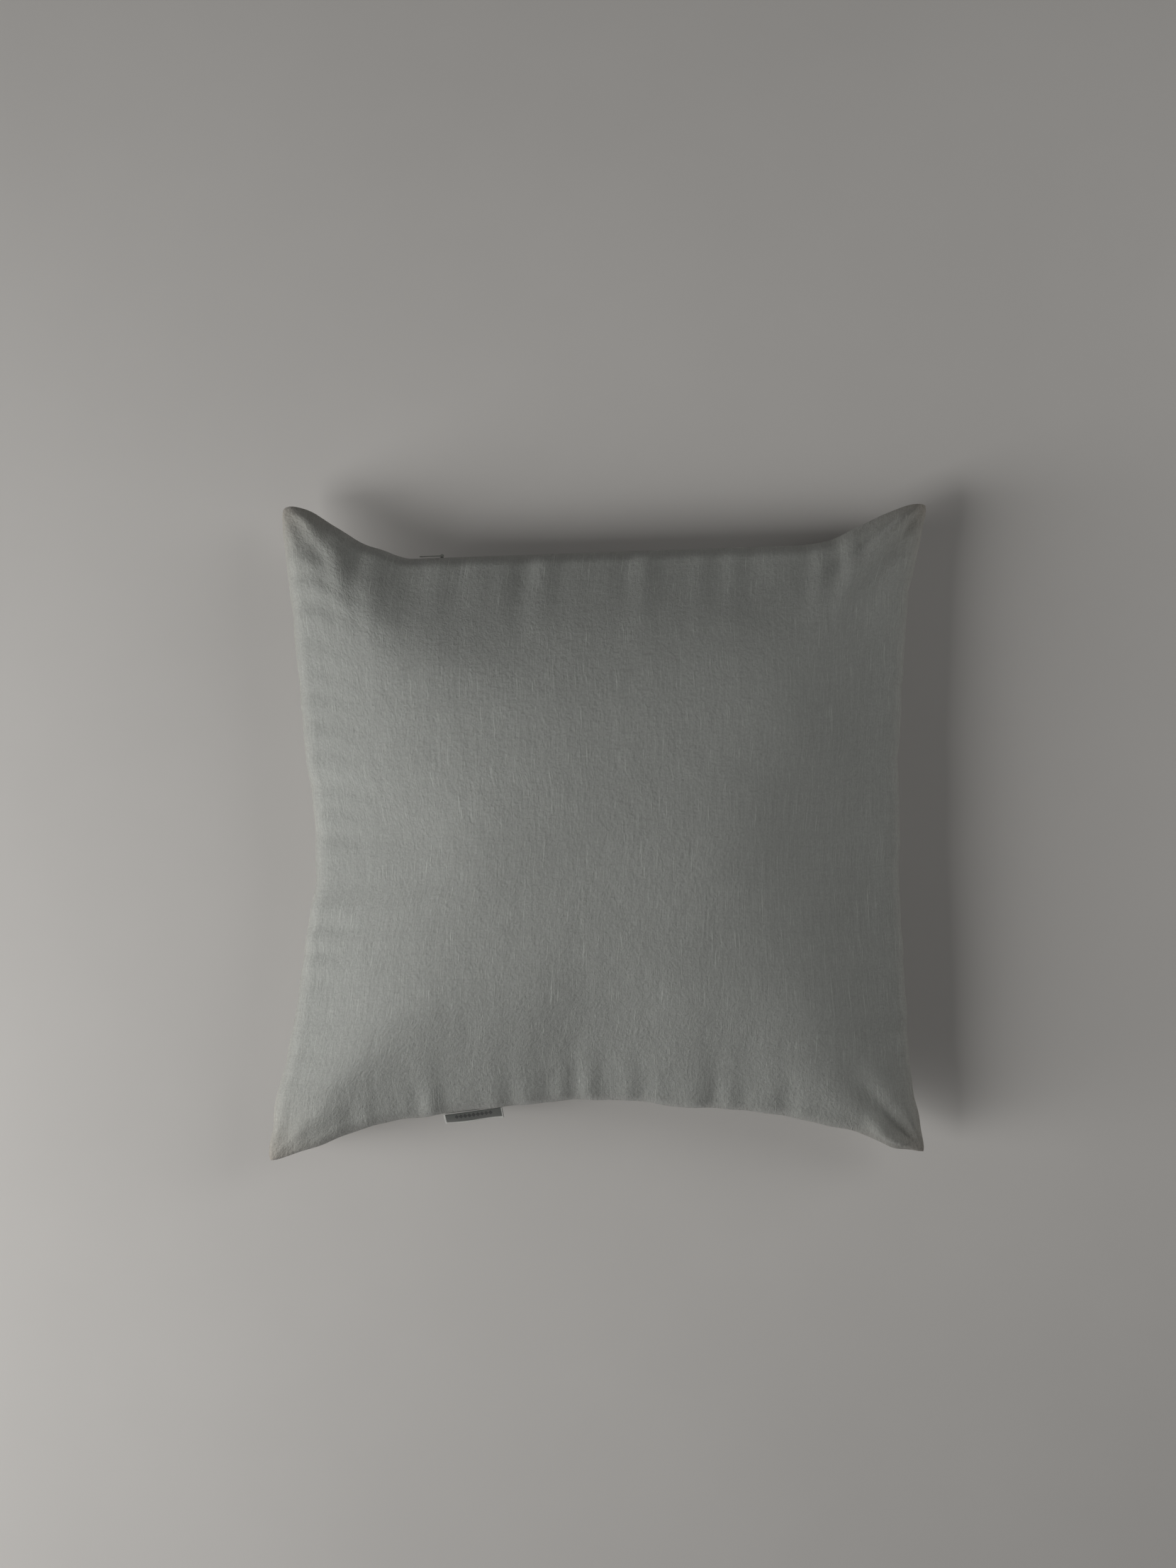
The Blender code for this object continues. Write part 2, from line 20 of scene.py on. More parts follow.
import bpy
import numpy as np
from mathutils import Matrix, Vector


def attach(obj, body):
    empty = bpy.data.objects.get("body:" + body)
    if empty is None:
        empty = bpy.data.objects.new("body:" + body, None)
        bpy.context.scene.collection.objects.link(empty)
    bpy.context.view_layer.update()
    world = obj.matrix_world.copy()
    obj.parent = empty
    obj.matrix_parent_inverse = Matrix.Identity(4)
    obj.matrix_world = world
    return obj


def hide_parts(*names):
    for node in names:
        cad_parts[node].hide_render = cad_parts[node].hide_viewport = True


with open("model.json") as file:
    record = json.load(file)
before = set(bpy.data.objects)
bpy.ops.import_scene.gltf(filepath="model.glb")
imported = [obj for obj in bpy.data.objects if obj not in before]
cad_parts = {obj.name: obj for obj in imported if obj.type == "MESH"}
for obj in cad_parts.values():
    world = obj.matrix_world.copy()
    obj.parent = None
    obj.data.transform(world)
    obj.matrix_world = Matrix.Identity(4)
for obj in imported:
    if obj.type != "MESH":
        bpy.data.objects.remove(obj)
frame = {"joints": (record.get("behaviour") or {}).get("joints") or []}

Array = np.ndarray
Piece = bpy.types.Object
Socket = bpy.types.NodeSocket

MM = 0.001
MIX_COLOUR_A, MIX_COLOUR_B, MIX_COLOUR_RESULT = 6, 7, 2
UP = np.array([0.0, 0.0, 1.0])
log = logging.getLogger("floor_cushion")


# Small shared mathematics

def smooth(t: Array) -> Array:
    """The ease 3t^2 - 2t^3, with t held between 0 and 1."""
    t = np.clip(t, 0, 1)
    return t * t * (3 - 2 * t)


def bump_at(t: Array, centre: float, width: float) -> Array:
    """The bell exp(-((t - centre) / width)^2)."""
    return np.exp(-(((t - centre) / width) ** 2))


def unit(vectors: Array) -> Array:
    """Each vector divided by its own length."""
    return vectors / np.maximum(np.linalg.norm(vectors, axis=-1, keepdims=True), 1e-12)


def cloth_grid(cells: int) -> tuple[Array, Array]:
    """Cloth coordinates u and v on a square grid, u down the rows and v along the columns."""
    run = np.linspace(-1, 1, cells + 1)
    return tuple(np.meshgrid(run, run, indexing="ij"))


def border(grid: Array) -> Array:
    """The border of a square grid, once round: near, right, far and left edges in turn."""
    return np.concatenate([grid[:-1, 0], grid[-1, :-1], grid[:0:-1, -1], grid[0, :0:-1]])


def finer(coarse: int, fine: int) -> Array:
    """The matrix that reads fine samples off a Catmull-Rom curve through the coarse ones.

    Args:
        coarse: Number of cells in the coarse row.
        fine: Number of cells in the fine row.

    Returns:
        A (fine + 1) by (coarse + 1) matrix whose rows each add up to 1.
    """
    place = np.linspace(0, coarse, fine + 1)
    cell = np.minimum(place.astype(int), coarse - 1)
    f = place - cell
    weights = np.stack([
        (-f + 2 * f**2 - f**3) / 2,
        (2 - 5 * f**2 + 3 * f**3) / 2,
        (f + 4 * f**2 - 3 * f**3) / 2,
        (-(f**2) + f**3) / 2,
    ])
    matrix = np.zeros((fine + 1, coarse + 3))
    rows = np.arange(fine + 1)
    for step in range(4):
        np.add.at(matrix, (rows, cell + step), weights[step])
    matrix[:, 1] += 2 * matrix[:, 0]
    matrix[:, 2] -= matrix[:, 0]
    matrix[:, -2] += 2 * matrix[:, -1]
    matrix[:, -3] -= matrix[:, -1]
    return matrix[:, 1:-1]


def resample(grid: Array, cells: int) -> Array:
    """A square grid of points read again with another number of cells."""
    matrix = finer(len(grid) - 1, cells)
    return np.einsum("ai,ijk,bj->abk", matrix, grid, matrix)


# Meshes

def grid_quads(ids: Array, flip: bool = False) -> Array:
    """Quads over a grid of vertex numbers, seen anticlockwise, or clockwise where flip is set."""
    quads = np.stack([ids[:-1, :-1], ids[1:, :-1], ids[1:, 1:], ids[:-1, 1:]], -1).reshape(-1, 4)
    return quads[:, ::-1] if flip else quads


def new_piece(name: str, points: Array, faces: list, finish: bpy.types.Material,
              uv: Array | None = None) -> Piece:
    """Make a mesh object at the origin from world points.

    Args:
        name: The piece's name.
        points: Vertex places, any shape that ends in 3.
        faces: Lists of vertex numbers.
        finish: Its material.
        uv: Cloth position of each vertex in metres, where the finish follows the cloth.

    Returns:
        The object, linked to the scene.
    """
    mesh = bpy.data.meshes.new(name)
    mesh.from_pydata(points.reshape(-1, 3).tolist(), [], faces)
    if uv is not None:
        corners = np.empty(len(mesh.loops), dtype=np.int32)
        mesh.loops.foreach_get("vertex_index", corners)
        layer = mesh.uv_layers.new(name="cloth")
        layer.data.foreach_set("uv", uv.reshape(-1, 2)[corners].ravel())
    mesh.materials.append(finish)
    mesh.shade_smooth()
    mesh.update()
    piece = bpy.data.objects.new(name, mesh)
    bpy.context.scene.collection.objects.link(piece)
    return piece


def lofted(name: str, rings: Array, finish: bpy.types.Material, loop: bool = False,
           uv: Array | None = None) -> Piece:
    """Skin many rows of closed rings, capping each row's two ends unless it is a loop.

    Args:
        name: The piece's name.
        rings: Points as (rows, rings in a row, points in a ring, 3).
        finish: The material.
        loop: True joins each row's last ring to its first.
        uv: Cloth positions shaped as rings, but ending in 2.

    Returns:
        One object that holds every row, with its faces pointing outwards.
    """
    count, length, sides = rings.shape[:3]
    ids = np.arange(count * length * sides).reshape(count, length, sides)
    here, after = (ids, np.roll(ids, -1, axis=1)) if loop else (ids[:, :-1], ids[:, 1:])
    quads = np.stack([here, after, np.roll(after, -1, 2), np.roll(here, -1, 2)], -1).reshape(-1, 4)
    caps = [] if loop else [*ids[:, 0, ::-1].tolist(), *ids[:, -1].tolist()]
    flat = rings.reshape(-1, 3) - rings.reshape(-1, 3).mean(0)
    first, second, third, fourth = (flat[quads[:, corner]] for corner in range(4))
    volume = np.einsum("ij,ij->", first, np.cross(second, third) + np.cross(third, fourth))
    if volume < 0:
        quads = quads[:, ::-1]
        caps = [cap[::-1] for cap in caps]
    return new_piece(name, rings, quads.tolist() + caps, finish, uv)


def tubes(paths: Array, radius: Array | float, sides: int, reference: Array = UP) -> Array:
    """Rings round many paths: path + radius (cos a, sin a) across each path's own direction.

    Args:
        paths: Points as (rows, points, 3).
        radius: One number, or one for each point of a path.
        sides: Points in a ring.
        reference: A direction that no path runs along.

    Returns:
        Rings for lofted(), as (rows, points, sides, 3).
    """
    ahead = unit(np.gradient(paths, axis=1))
    across = unit(np.cross(ahead, reference))
    other = np.cross(across, ahead)
    angle = np.arange(sides) * 2 * math.pi / sides
    radius = np.broadcast_to(np.asarray(radius, float), paths.shape[1:2])[None, :, None, None]
    turned = (np.cos(angle)[:, None] * across[:, :, None, :]
              + np.sin(angle)[:, None] * other[:, :, None, :])
    return paths[:, :, None, :] + radius * turned


def superellipse(half_width: float, half_height: float, power: float, sides: int) -> Array:
    """Points of |x / a|^p + |y / b|^p = 1, as (sides, 2)."""
    angle = (np.arange(sides) + 0.5) * 2 * math.pi / sides
    x, y = np.cos(angle), np.sin(angle)
    shape = np.column_stack([np.sign(x) * np.abs(x) ** (2 / power),
                             np.sign(y) * np.abs(y) ** (2 / power)])
    return shape * (half_width, half_height)


def thicken(piece: Piece, thickness: float) -> Piece:
    """Give a skin its cloth thickness, on the side away from its faces."""
    wall = piece.modifiers.new("thickness", "SOLIDIFY")
    wall.thickness = thickness
    wall.offset = -1
    wall.use_rim = True
    return piece


def join(pieces: Sequence[Piece]) -> Piece:
    """Join several pieces into the first one."""
    if len(pieces) > 1:
        with bpy.context.temp_override(active_object=pieces[0], selected_editable_objects=pieces):
            bpy.ops.object.join()
    return pieces[0]


def carry(piece: Piece, body: str, slot: str, *nodes: str) -> Piece:
    """Ride on a body and stand for CAD nodes.

    Args:
        piece: The finished piece.
        body: The body that it moves with.
        slot: The record's material slot; not used.
        *nodes: The CAD nodes that it stands for.

    Returns:
        The same piece.
    """
    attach(piece, body)
    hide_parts(*nodes)
    log.info("%s: %d faces, on %s", piece.name, len(piece.data.polygons), body)
    return piece


# Finishes

class NodeSheet:
    """A material's node tree, with one short call for each kind of node."""

    def __init__(self, name: str) -> None:
        """Start a material that holds one Principled shader."""
        self.material = bpy.data.materials.new(name)
        self.material.use_nodes = True
        self.tree = self.material.node_tree
        self.shader = self.tree.nodes["Principled BSDF"]

    def put(self, socket: Socket, value: Socket | float | Sequence[float]) -> None:
        """Link a socket to another, or set its constant."""
        if isinstance(value, bpy.types.NodeSocket):
            self.tree.links.new(value, socket)
        else:
            socket.default_value = value

    def cloth(self, per_metre_u: float = 1.0, per_metre_v: float = 1.0) -> Socket:
        """The cloth's own position, scaled along each yarn direction."""
        place = self.tree.nodes.new("ShaderNodeUVMap")
        place.uv_map = "cloth"
        return self.stretched(place.outputs["UV"], (per_metre_u, per_metre_v, 1.0))

    def space(self, scale: tuple[float, float, float] = (1.0, 1.0, 1.0)) -> Socket:
        """The object position, scaled."""
        place = self.tree.nodes.new("ShaderNodeTexCoord")
        return self.stretched(place.outputs["Object"], scale)

    def stretched(self, vector: Socket, scale: tuple[float, float, float]) -> Socket:
        """A vector times a scale for each axis."""
        mapping = self.tree.nodes.new("ShaderNodeMapping")
        self.put(mapping.inputs["Vector"], vector)
        mapping.inputs["Scale"].default_value = scale
        return mapping.outputs["Vector"]

    def parts(self, vector: Socket) -> tuple[Socket, Socket]:
        """The first two components of a vector."""
        split = self.tree.nodes.new("ShaderNodeSeparateXYZ")
        self.put(split.inputs["Vector"], vector)
        return split.outputs["X"], split.outputs["Y"]

    def math(self, operation: str, first: Socket | float, second: Socket | float = 0.0,
             third: Socket | float = 0.0) -> Socket:
        """One Math node."""
        node = self.tree.nodes.new("ShaderNodeMath")
        node.operation = operation
        for socket, value in zip(node.inputs, (first, second, third)):
            self.put(socket, value)
        return node.outputs["Value"]

    def noise(self, vector: Socket, scale: float = 1.0, detail: float = 2.0,
              roughness: float = 0.5) -> Socket:
        """Noise from 0 to 1 about a middle of a half."""
        node = self.tree.nodes.new("ShaderNodeTexNoise")
        self.put(node.inputs["Vector"], vector)
        for name, value in (("Scale", scale), ("Detail", detail), ("Roughness", roughness)):
            node.inputs[name].default_value = value
        return node.outputs["Fac"]

    def between(self, value: Socket, low: float, high: float, start: float = 0.0,
                end: float = 1.0) -> Socket:
        """A value carried smoothly from the range low..high to the range start..end."""
        node = self.tree.nodes.new("ShaderNodeMapRange")
        node.interpolation_type = "SMOOTHSTEP"
        self.put(node.inputs["Value"], value)
        for name, number in (("From Min", low), ("From Max", high), ("To Min", start), ("To Max", end)):
            node.inputs[name].default_value = number
        return node.outputs["Result"]

    def mixed(self, share: Socket | float, first: Socket | Sequence[float],
              second: Socket | Sequence[float], blend: str = "MIX") -> Socket:
        """Two colours mixed by a share."""
        node = self.tree.nodes.new("ShaderNodeMix")
        node.data_type = "RGBA"
        node.blend_type = blend
        self.put(node.inputs["Factor"], share)
        self.put(node.inputs[MIX_COLOUR_A], first)
        self.put(node.inputs[MIX_COLOUR_B], second)
        return node.outputs[MIX_COLOUR_RESULT]

    def brightened(self, colour: Socket | Sequence[float], factor: Socket) -> Socket:
        """A colour times one number."""
        node = self.tree.nodes.new("ShaderNodeVectorMath")
        node.operation = "SCALE"
        if isinstance(colour, bpy.types.NodeSocket):
            self.put(node.inputs[0], colour)
        else:
            node.inputs[0].default_value = colour[:3]
        self.put(node.inputs["Scale"], factor)
        return node.outputs["Vector"]

    def relief(self, height: Socket, distance: float, strength: float = 1.0,
               below: Socket | None = None) -> Socket:
        """A bump of this height in metres, laid over another bump."""
        node = self.tree.nodes.new("ShaderNodeBump")
        node.inputs["Strength"].default_value = strength
        node.inputs["Distance"].default_value = distance
        self.put(node.inputs["Height"], height)
        if below is not None:
            self.put(node.inputs["Normal"], below)
        return node.outputs["Normal"]

    def dress(self, colour: Socket | Sequence[float], roughness: Socket | float,
              normal: Socket | None = None, **constants: float) -> bpy.types.Material:
        """Fill in the shader; constants name its other sockets with underscores for spaces."""
        if not isinstance(colour, bpy.types.NodeSocket):
            colour = (*colour[:3], 1.0)
        self.put(self.shader.inputs["Base Color"], colour)
        self.put(self.shader.inputs["Roughness"], roughness)
        if normal is not None:
            self.put(self.shader.inputs["Normal"], normal)
        for name, value in constants.items():
            self.shader.inputs[name.replace("_", " ")].default_value = value
        return self.material


class Weave(Enum):
    """How openly a cloth is woven: yarns per metre across and along."""

    LINEN = (1240.0, 1180.0)
    COTTON = (2600.0, 2500.0)
    SATIN = (5200.0, 2400.0)


def woven(sheet: NodeSheet, weave: Weave, wander: float) -> Socket:
    """Plain weave: h = (|cos pi x| + |cos pi y|) / 2 + cos(pi x) cos(pi y) / 4.

    x and y count yarns, and wander shifts them by that share of a yarn, so that none runs dead
    straight.
    """
    across, along = weave.value
    x, y = sheet.parts(sheet.cloth(across, along))
    drift = sheet.noise(sheet.cloth(260.0, 30.0), 1.0, 1.0)
    drift_too = sheet.noise(sheet.cloth(26.0, 240.0), 1.0, 1.0)
    x = sheet.math("MULTIPLY_ADD", drift, wander, x)
    y = sheet.math("MULTIPLY_ADD", drift_too, wander, y)
    first = sheet.math("COSINE", sheet.math("MULTIPLY", x, math.pi))
    second = sheet.math("COSINE", sheet.math("MULTIPLY", y, math.pi))
    ridges = sheet.math("ADD", sheet.math("ABSOLUTE", first), sheet.math("ABSOLUTE", second))
    crossing = sheet.math("MULTIPLY", sheet.math("MULTIPLY", first, second), 0.25)
    return sheet.math("MULTIPLY_ADD", ridges, 0.5, crossing)


@dataclass(frozen=True)
class Linen:
    """Washed, slubby linen: uneven yarns, long slubs along v and a fine crumple."""

    colour: tuple[float, float, float] = (0.284, 0.291, 0.272)
    worn: tuple[float, float, float] = (0.300, 0.272, 0.235)
    slub_light: float = 0.42
    crumple: float = 0.62 * MM
    weave_depth: float = 0.14 * MM

    def material(self) -> bpy.types.Material:
        """Yarn tone, slubs, cloudy dye and worn tips over a weave, a crumple and a pebbled wash, with painted
        shade in the hollows of the weave and of the pebbles.
        """
        sheet = NodeSheet("cover_linen")
        weave = woven(sheet, Weave.LINEN, 0.7)
        warp = sheet.noise(sheet.cloth(1150.0, 16.0), 1.0, 1.5, 0.6)
        weft = sheet.noise(sheet.cloth(20.0, 1050.0), 1.0, 1.5, 0.6)
        slubs = sheet.between(sheet.noise(sheet.cloth(640.0, 21.0), 1.0, 2.0, 0.55), 0.60, 0.76)
        fine_slubs = sheet.between(sheet.noise(sheet.cloth(1000.0, 46.0), 1.3, 1.0), 0.58, 0.74)
        grain = sheet.noise(sheet.cloth(620.0, 560.0), 1.0, 2.0, 0.7)
        cloud = sheet.noise(sheet.cloth(7.0, 7.0), 1.0, 3.0, 0.55)
        pebble = sheet.noise(sheet.cloth(290.0, 225.0), 1.0, 3.0, 0.65)

        tone = sheet.between(warp, 0.2, 0.8, 0.92, 1.08)
        tone = sheet.math("MULTIPLY", tone, sheet.between(weft, 0.2, 0.8, 0.965, 1.035))
        tone = sheet.math("MULTIPLY", tone, sheet.between(grain, 0.25, 0.75, 0.90, 1.10))
        tone = sheet.math("MULTIPLY", tone, sheet.between(cloud, 0.3, 0.7, 0.97, 1.03))
        # Painted shade: the cloth is lighter on the crowns of the pebbled crumple and darker in its hollows.
        tone = sheet.math("MULTIPLY", tone, sheet.between(pebble, 0.3, 0.7, 0.955, 1.045))
        # Painted shade: the cloth is darker in the hollows between the yarns and lighter on their crowns.
        tone = sheet.math("MULTIPLY", tone, sheet.between(weave, 0.1, 1.1, 0.88, 1.08))
        tone = sheet.math("MULTIPLY_ADD", slubs, self.slub_light, tone)
        tone = sheet.math("MULTIPLY_ADD", fine_slubs, 0.5 * self.slub_light, tone)
        wear = sheet.tree.nodes.new("ShaderNodeAttribute")
        wear.attribute_name = "wear"
        worn = sheet.mixed(wear.outputs["Fac"], (*self.colour, 1.0), (*self.worn, 1.0))
        colour = sheet.brightened(worn, tone)

        crumple = sheet.noise(sheet.cloth(58.0, 44.0), 1.0, 4.0, 0.55)
        normal = sheet.relief(crumple, 2.2 * self.crumple)
        normal = sheet.relief(pebble, 1.7 * self.crumple, below=normal)
        normal = sheet.relief(sheet.math("ADD", slubs, fine_slubs), 0.16 * MM, below=normal)
        normal = sheet.relief(weave, self.weave_depth, below=normal)
        roughness = sheet.between(grain, 0.2, 0.8, 0.80, 0.92)
        return sheet.dress(colour, roughness, normal, Sheen_Weight=0.25, Sheen_Roughness=0.45,
                           Specular_IOR_Level=0.28)


@dataclass(frozen=True)
class PlainCloth:
    """A finer cloth of one colour: the casing, the zip tape and the care ribbon."""

    name: str
    colour: tuple[float, float, float]
    weave: Weave = Weave.COTTON
    roughness: float = 0.85
    sheen: float = 0.15

    def material(self) -> bpy.types.Material:
        """Weave relief with painted shade in the weave's hollows, and a light mottle in tone and roughness.
        """
        sheet = NodeSheet(self.name)
        weave = woven(sheet, self.weave, 0.3)
        mottle = sheet.noise(sheet.cloth(90.0, 90.0), 1.0, 3.0)
        # Painted shade: the cloth is darker in the hollows between the yarns and lighter on their crowns.
        tone = sheet.math("MULTIPLY", sheet.between(mottle, 0.3, 0.7, 0.95, 1.05),
                          sheet.between(weave, 0.1, 1.1, 0.86, 1.06))
        normal = sheet.relief(weave, 0.06 * MM)
        rough = sheet.between(mottle, 0.3, 0.7, self.roughness - 0.05, self.roughness + 0.05)
        return sheet.dress(sheet.brightened(self.colour, tone), rough, normal,
                           Sheen_Weight=self.sheen)


@dataclass(frozen=True)
class LabelSatin:
    """Dark satin ribbon with pale selvedges and a woven row of plain lozenges."""

    ground: tuple[float, float, float] = (0.088, 0.094, 0.085)
    figure: tuple[float, float, float] = (0.016, 0.018, 0.017)
    selvedge: tuple[float, float, float] = (0.56, 0.56, 0.53)
    half_width: float = 0.029
    reach: float = 0.0156
    row: float = 0.0052
    pitch: float = 0.0042
    lozenge: float = 0.0021

    def material(self) -> bpy.types.Material:
        """Lozenge: |x'| + |y'| < size, x' measured from the nearest multiple of the pitch."""
        sheet = NodeSheet("label_satin")
        x, y = sheet.parts(sheet.cloth())
        near = sheet.math("PINGPONG", x, self.pitch / 2)
        taller = sheet.math("MULTIPLY", sheet.math("ABSOLUTE", sheet.math("SUBTRACT", y, self.row)), 0.6)
        lozenge = sheet.between(sheet.math("ADD", near, taller),
                                self.lozenge - 0.1 * MM, self.lozenge + 0.1 * MM, 1.0, 0.0)
        inside = sheet.between(sheet.math("ABSOLUTE", x), 0.0185, 0.0187, 1.0, 0.0)
        side = sheet.between(sheet.math("ABSOLUTE", x),
                             self.half_width - 1.6 * MM, self.half_width - 1.3 * MM)
        fold = sheet.math("ABSOLUTE", sheet.math("SUBTRACT", y, self.reach))
        hem = sheet.between(fold, 1.8 * MM, 2.0 * MM, 1.0, 0.0)
        threads = sheet.noise(sheet.cloth(4200.0, 60.0), 1.0, 2.0)
        sheen_streaks = sheet.noise(sheet.cloth(60.0, 900.0), 1.0, 2.0)
        colour = sheet.mixed(sheet.math("MULTIPLY", lozenge, inside), (*self.ground, 1.0),
                             (*self.figure, 1.0))
        colour = sheet.mixed(sheet.math("MAXIMUM", side, hem), colour, (*self.selvedge, 1.0))
        # Painted sheen: the colour is brightened and darkened in streaks across the ribbon, as light catches
        # satin; the same streaks also vary the roughness.
        tone = sheet.math("MULTIPLY", sheet.between(threads, 0.3, 0.7, 0.90, 1.10),
                          sheet.between(sheen_streaks, 0.3, 0.7, 0.85, 1.15))
        weave = woven(sheet, Weave.SATIN, 0.2)
        raised = sheet.math("MULTIPLY_ADD", lozenge, 0.6, weave)
        return sheet.dress(sheet.brightened(colour, tone), sheet.between(sheen_streaks, 0.3, 0.7, 0.34, 0.46),
                           sheet.relief(raised, 0.05 * MM), Sheen_Weight=0.2, Anisotropic=0.5)


@dataclass(frozen=True)
class Twisted:
    """Sewing thread: a tight twist, with painted shade that darkens its grooves."""

    name: str
    colour: tuple[float, float, float]
    roughness: float = 0.6

    def material(self) -> bpy.types.Material:
        """Diagonal bands in object space give the twist."""
        sheet = NodeSheet(self.name)
        x, y = sheet.parts(sheet.space((3200.0, 3200.0, 3200.0)))
        twist = sheet.math("SINE", sheet.math("ADD", x, y))
        fuzz = sheet.noise(sheet.space(), 900.0, 2.0)
        # Painted shade: the thread is darker in the grooves of its twist.
        tone = sheet.math("MULTIPLY", sheet.between(twist, -1.0, 1.0, 0.86, 1.08),
                          sheet.between(fuzz, 0.3, 0.7, 0.94, 1.06))
        return sheet.dress(sheet.brightened(self.colour, tone), self.roughness,
                           sheet.relief(twist, 0.04 * MM), Sheen_Weight=0.1)


@dataclass(frozen=True)
class Fibre:
    """Loose polyester wadding: pale, matt and matted in soft strands."""

    colour: tuple[float, float, float] = (0.84, 0.84, 0.82)

    def material(self) -> bpy.types.Material:
        """Strands from noise bent by noise."""
        sheet = NodeSheet("fibre")
        bend = sheet.noise(sheet.space(), 30.0, 3.0)
        vector = sheet.tree.nodes.new("ShaderNodeVectorMath")
        vector.operation = "ADD"
        sheet.put(vector.inputs[0], sheet.space((300.0, 60.0, 200.0)))
        sheet.put(vector.inputs[1], sheet.brightened((9.0, 9.0, 9.0), bend))
        strands = sheet.noise(vector.outputs["Vector"], 1.0, 4.0, 0.7)
        colour = sheet.brightened(self.colour, sheet.between(strands, 0.3, 0.7, 0.88, 1.05))
        return sheet.dress(colour, 0.95, sheet.relief(strands, 0.8 * MM), Sheen_Weight=0.3)


@dataclass(frozen=True)
class Moulded:
    """Nylon filament or painted zinc: fine mottle, scuffed where it is handled."""

    name: str
    colour: tuple[float, float, float]
    roughness: float
    metallic: float = 0.0
    scuff: tuple[float, float, float] = (0.30, 0.30, 0.28)

    def material(self) -> bpy.types.Material:
        """Paint with small scuffs in colour and roughness."""
        sheet = NodeSheet(self.name)
        mottle = sheet.noise(sheet.space(), 700.0, 3.0, 0.6)
        marks = sheet.between(sheet.noise(sheet.space((900.0, 900.0, 240.0)), 1.0, 3.0), 0.62, 0.74, 0.0, 0.5)
        colour = sheet.mixed(marks, (*self.colour, 1.0), (*self.scuff, 1.0))
        colour = sheet.brightened(colour, sheet.between(mottle, 0.3, 0.7, 0.93, 1.07))
        rough = sheet.between(mottle, 0.3, 0.7, self.roughness - 0.06, self.roughness + 0.08)
        return sheet.dress(colour, rough, sheet.relief(mottle, 0.02 * MM), Metallic=self.metallic)


@dataclass(frozen=True)
class PaleFloor:
    """A plain pale floor."""

    colour: tuple[float, float, float] = (0.520, 0.503, 0.480)

    def material(self) -> bpy.types.Material:
        """An even matt tone with a faint mottle."""
        sheet = NodeSheet("pale_floor")
        mottle = sheet.noise(sheet.space(), 3.0, 4.0, 0.6)
        colour = sheet.brightened(self.colour, sheet.between(mottle, 0.3, 0.7, 0.985, 1.015))
        return sheet.dress(colour, 0.75, Specular_IOR_Level=0.2)


@dataclass
class Finishes:
    """Every material of the cushion, made once."""

    linen: bpy.types.Material = field(default_factory=lambda: Linen().material())
    cotton: bpy.types.Material = field(
        default_factory=lambda: PlainCloth("casing_cotton", (0.76, 0.75, 0.71)).material())
    tape: bpy.types.Material = field(
        default_factory=lambda: PlainCloth("zip_tape", (0.235, 0.245, 0.222), Weave.SATIN, 0.8).material())
    ribbon: bpy.types.Material = field(
        default_factory=lambda: PlainCloth("care_ribbon", (0.80, 0.80, 0.78), Weave.SATIN, 0.5).material())
    satin: bpy.types.Material = field(default_factory=lambda: LabelSatin().material())
    thread: bpy.types.Material = field(
        default_factory=lambda: Twisted("sewing_thread", (0.235, 0.245, 0.222)).material())
    fibre: bpy.types.Material = field(default_factory=lambda: Fibre().material())
    filament: bpy.types.Material = field(
        default_factory=lambda: Moulded("zip_filament", (0.225, 0.235, 0.215), 0.42).material())
    metal: bpy.types.Material = field(
        default_factory=lambda: Moulded("zip_metal", (0.262, 0.272, 0.246), 0.42, 0.15).material())


# The sewn outline

class Side(Enum):
    """The four sewn edges, as (runs along u, which end of the other coordinate)."""

    NEAR = (True, -1)
    RIGHT = (False, 1)
    FAR = (True, 1)
    LEFT = (False, -1)


@dataclass(frozen=True)
class Kink:
    """A small settled wave of an edge: outward by depth at one place along it."""

    side: Side
    at: float
    width: float
    depth: float


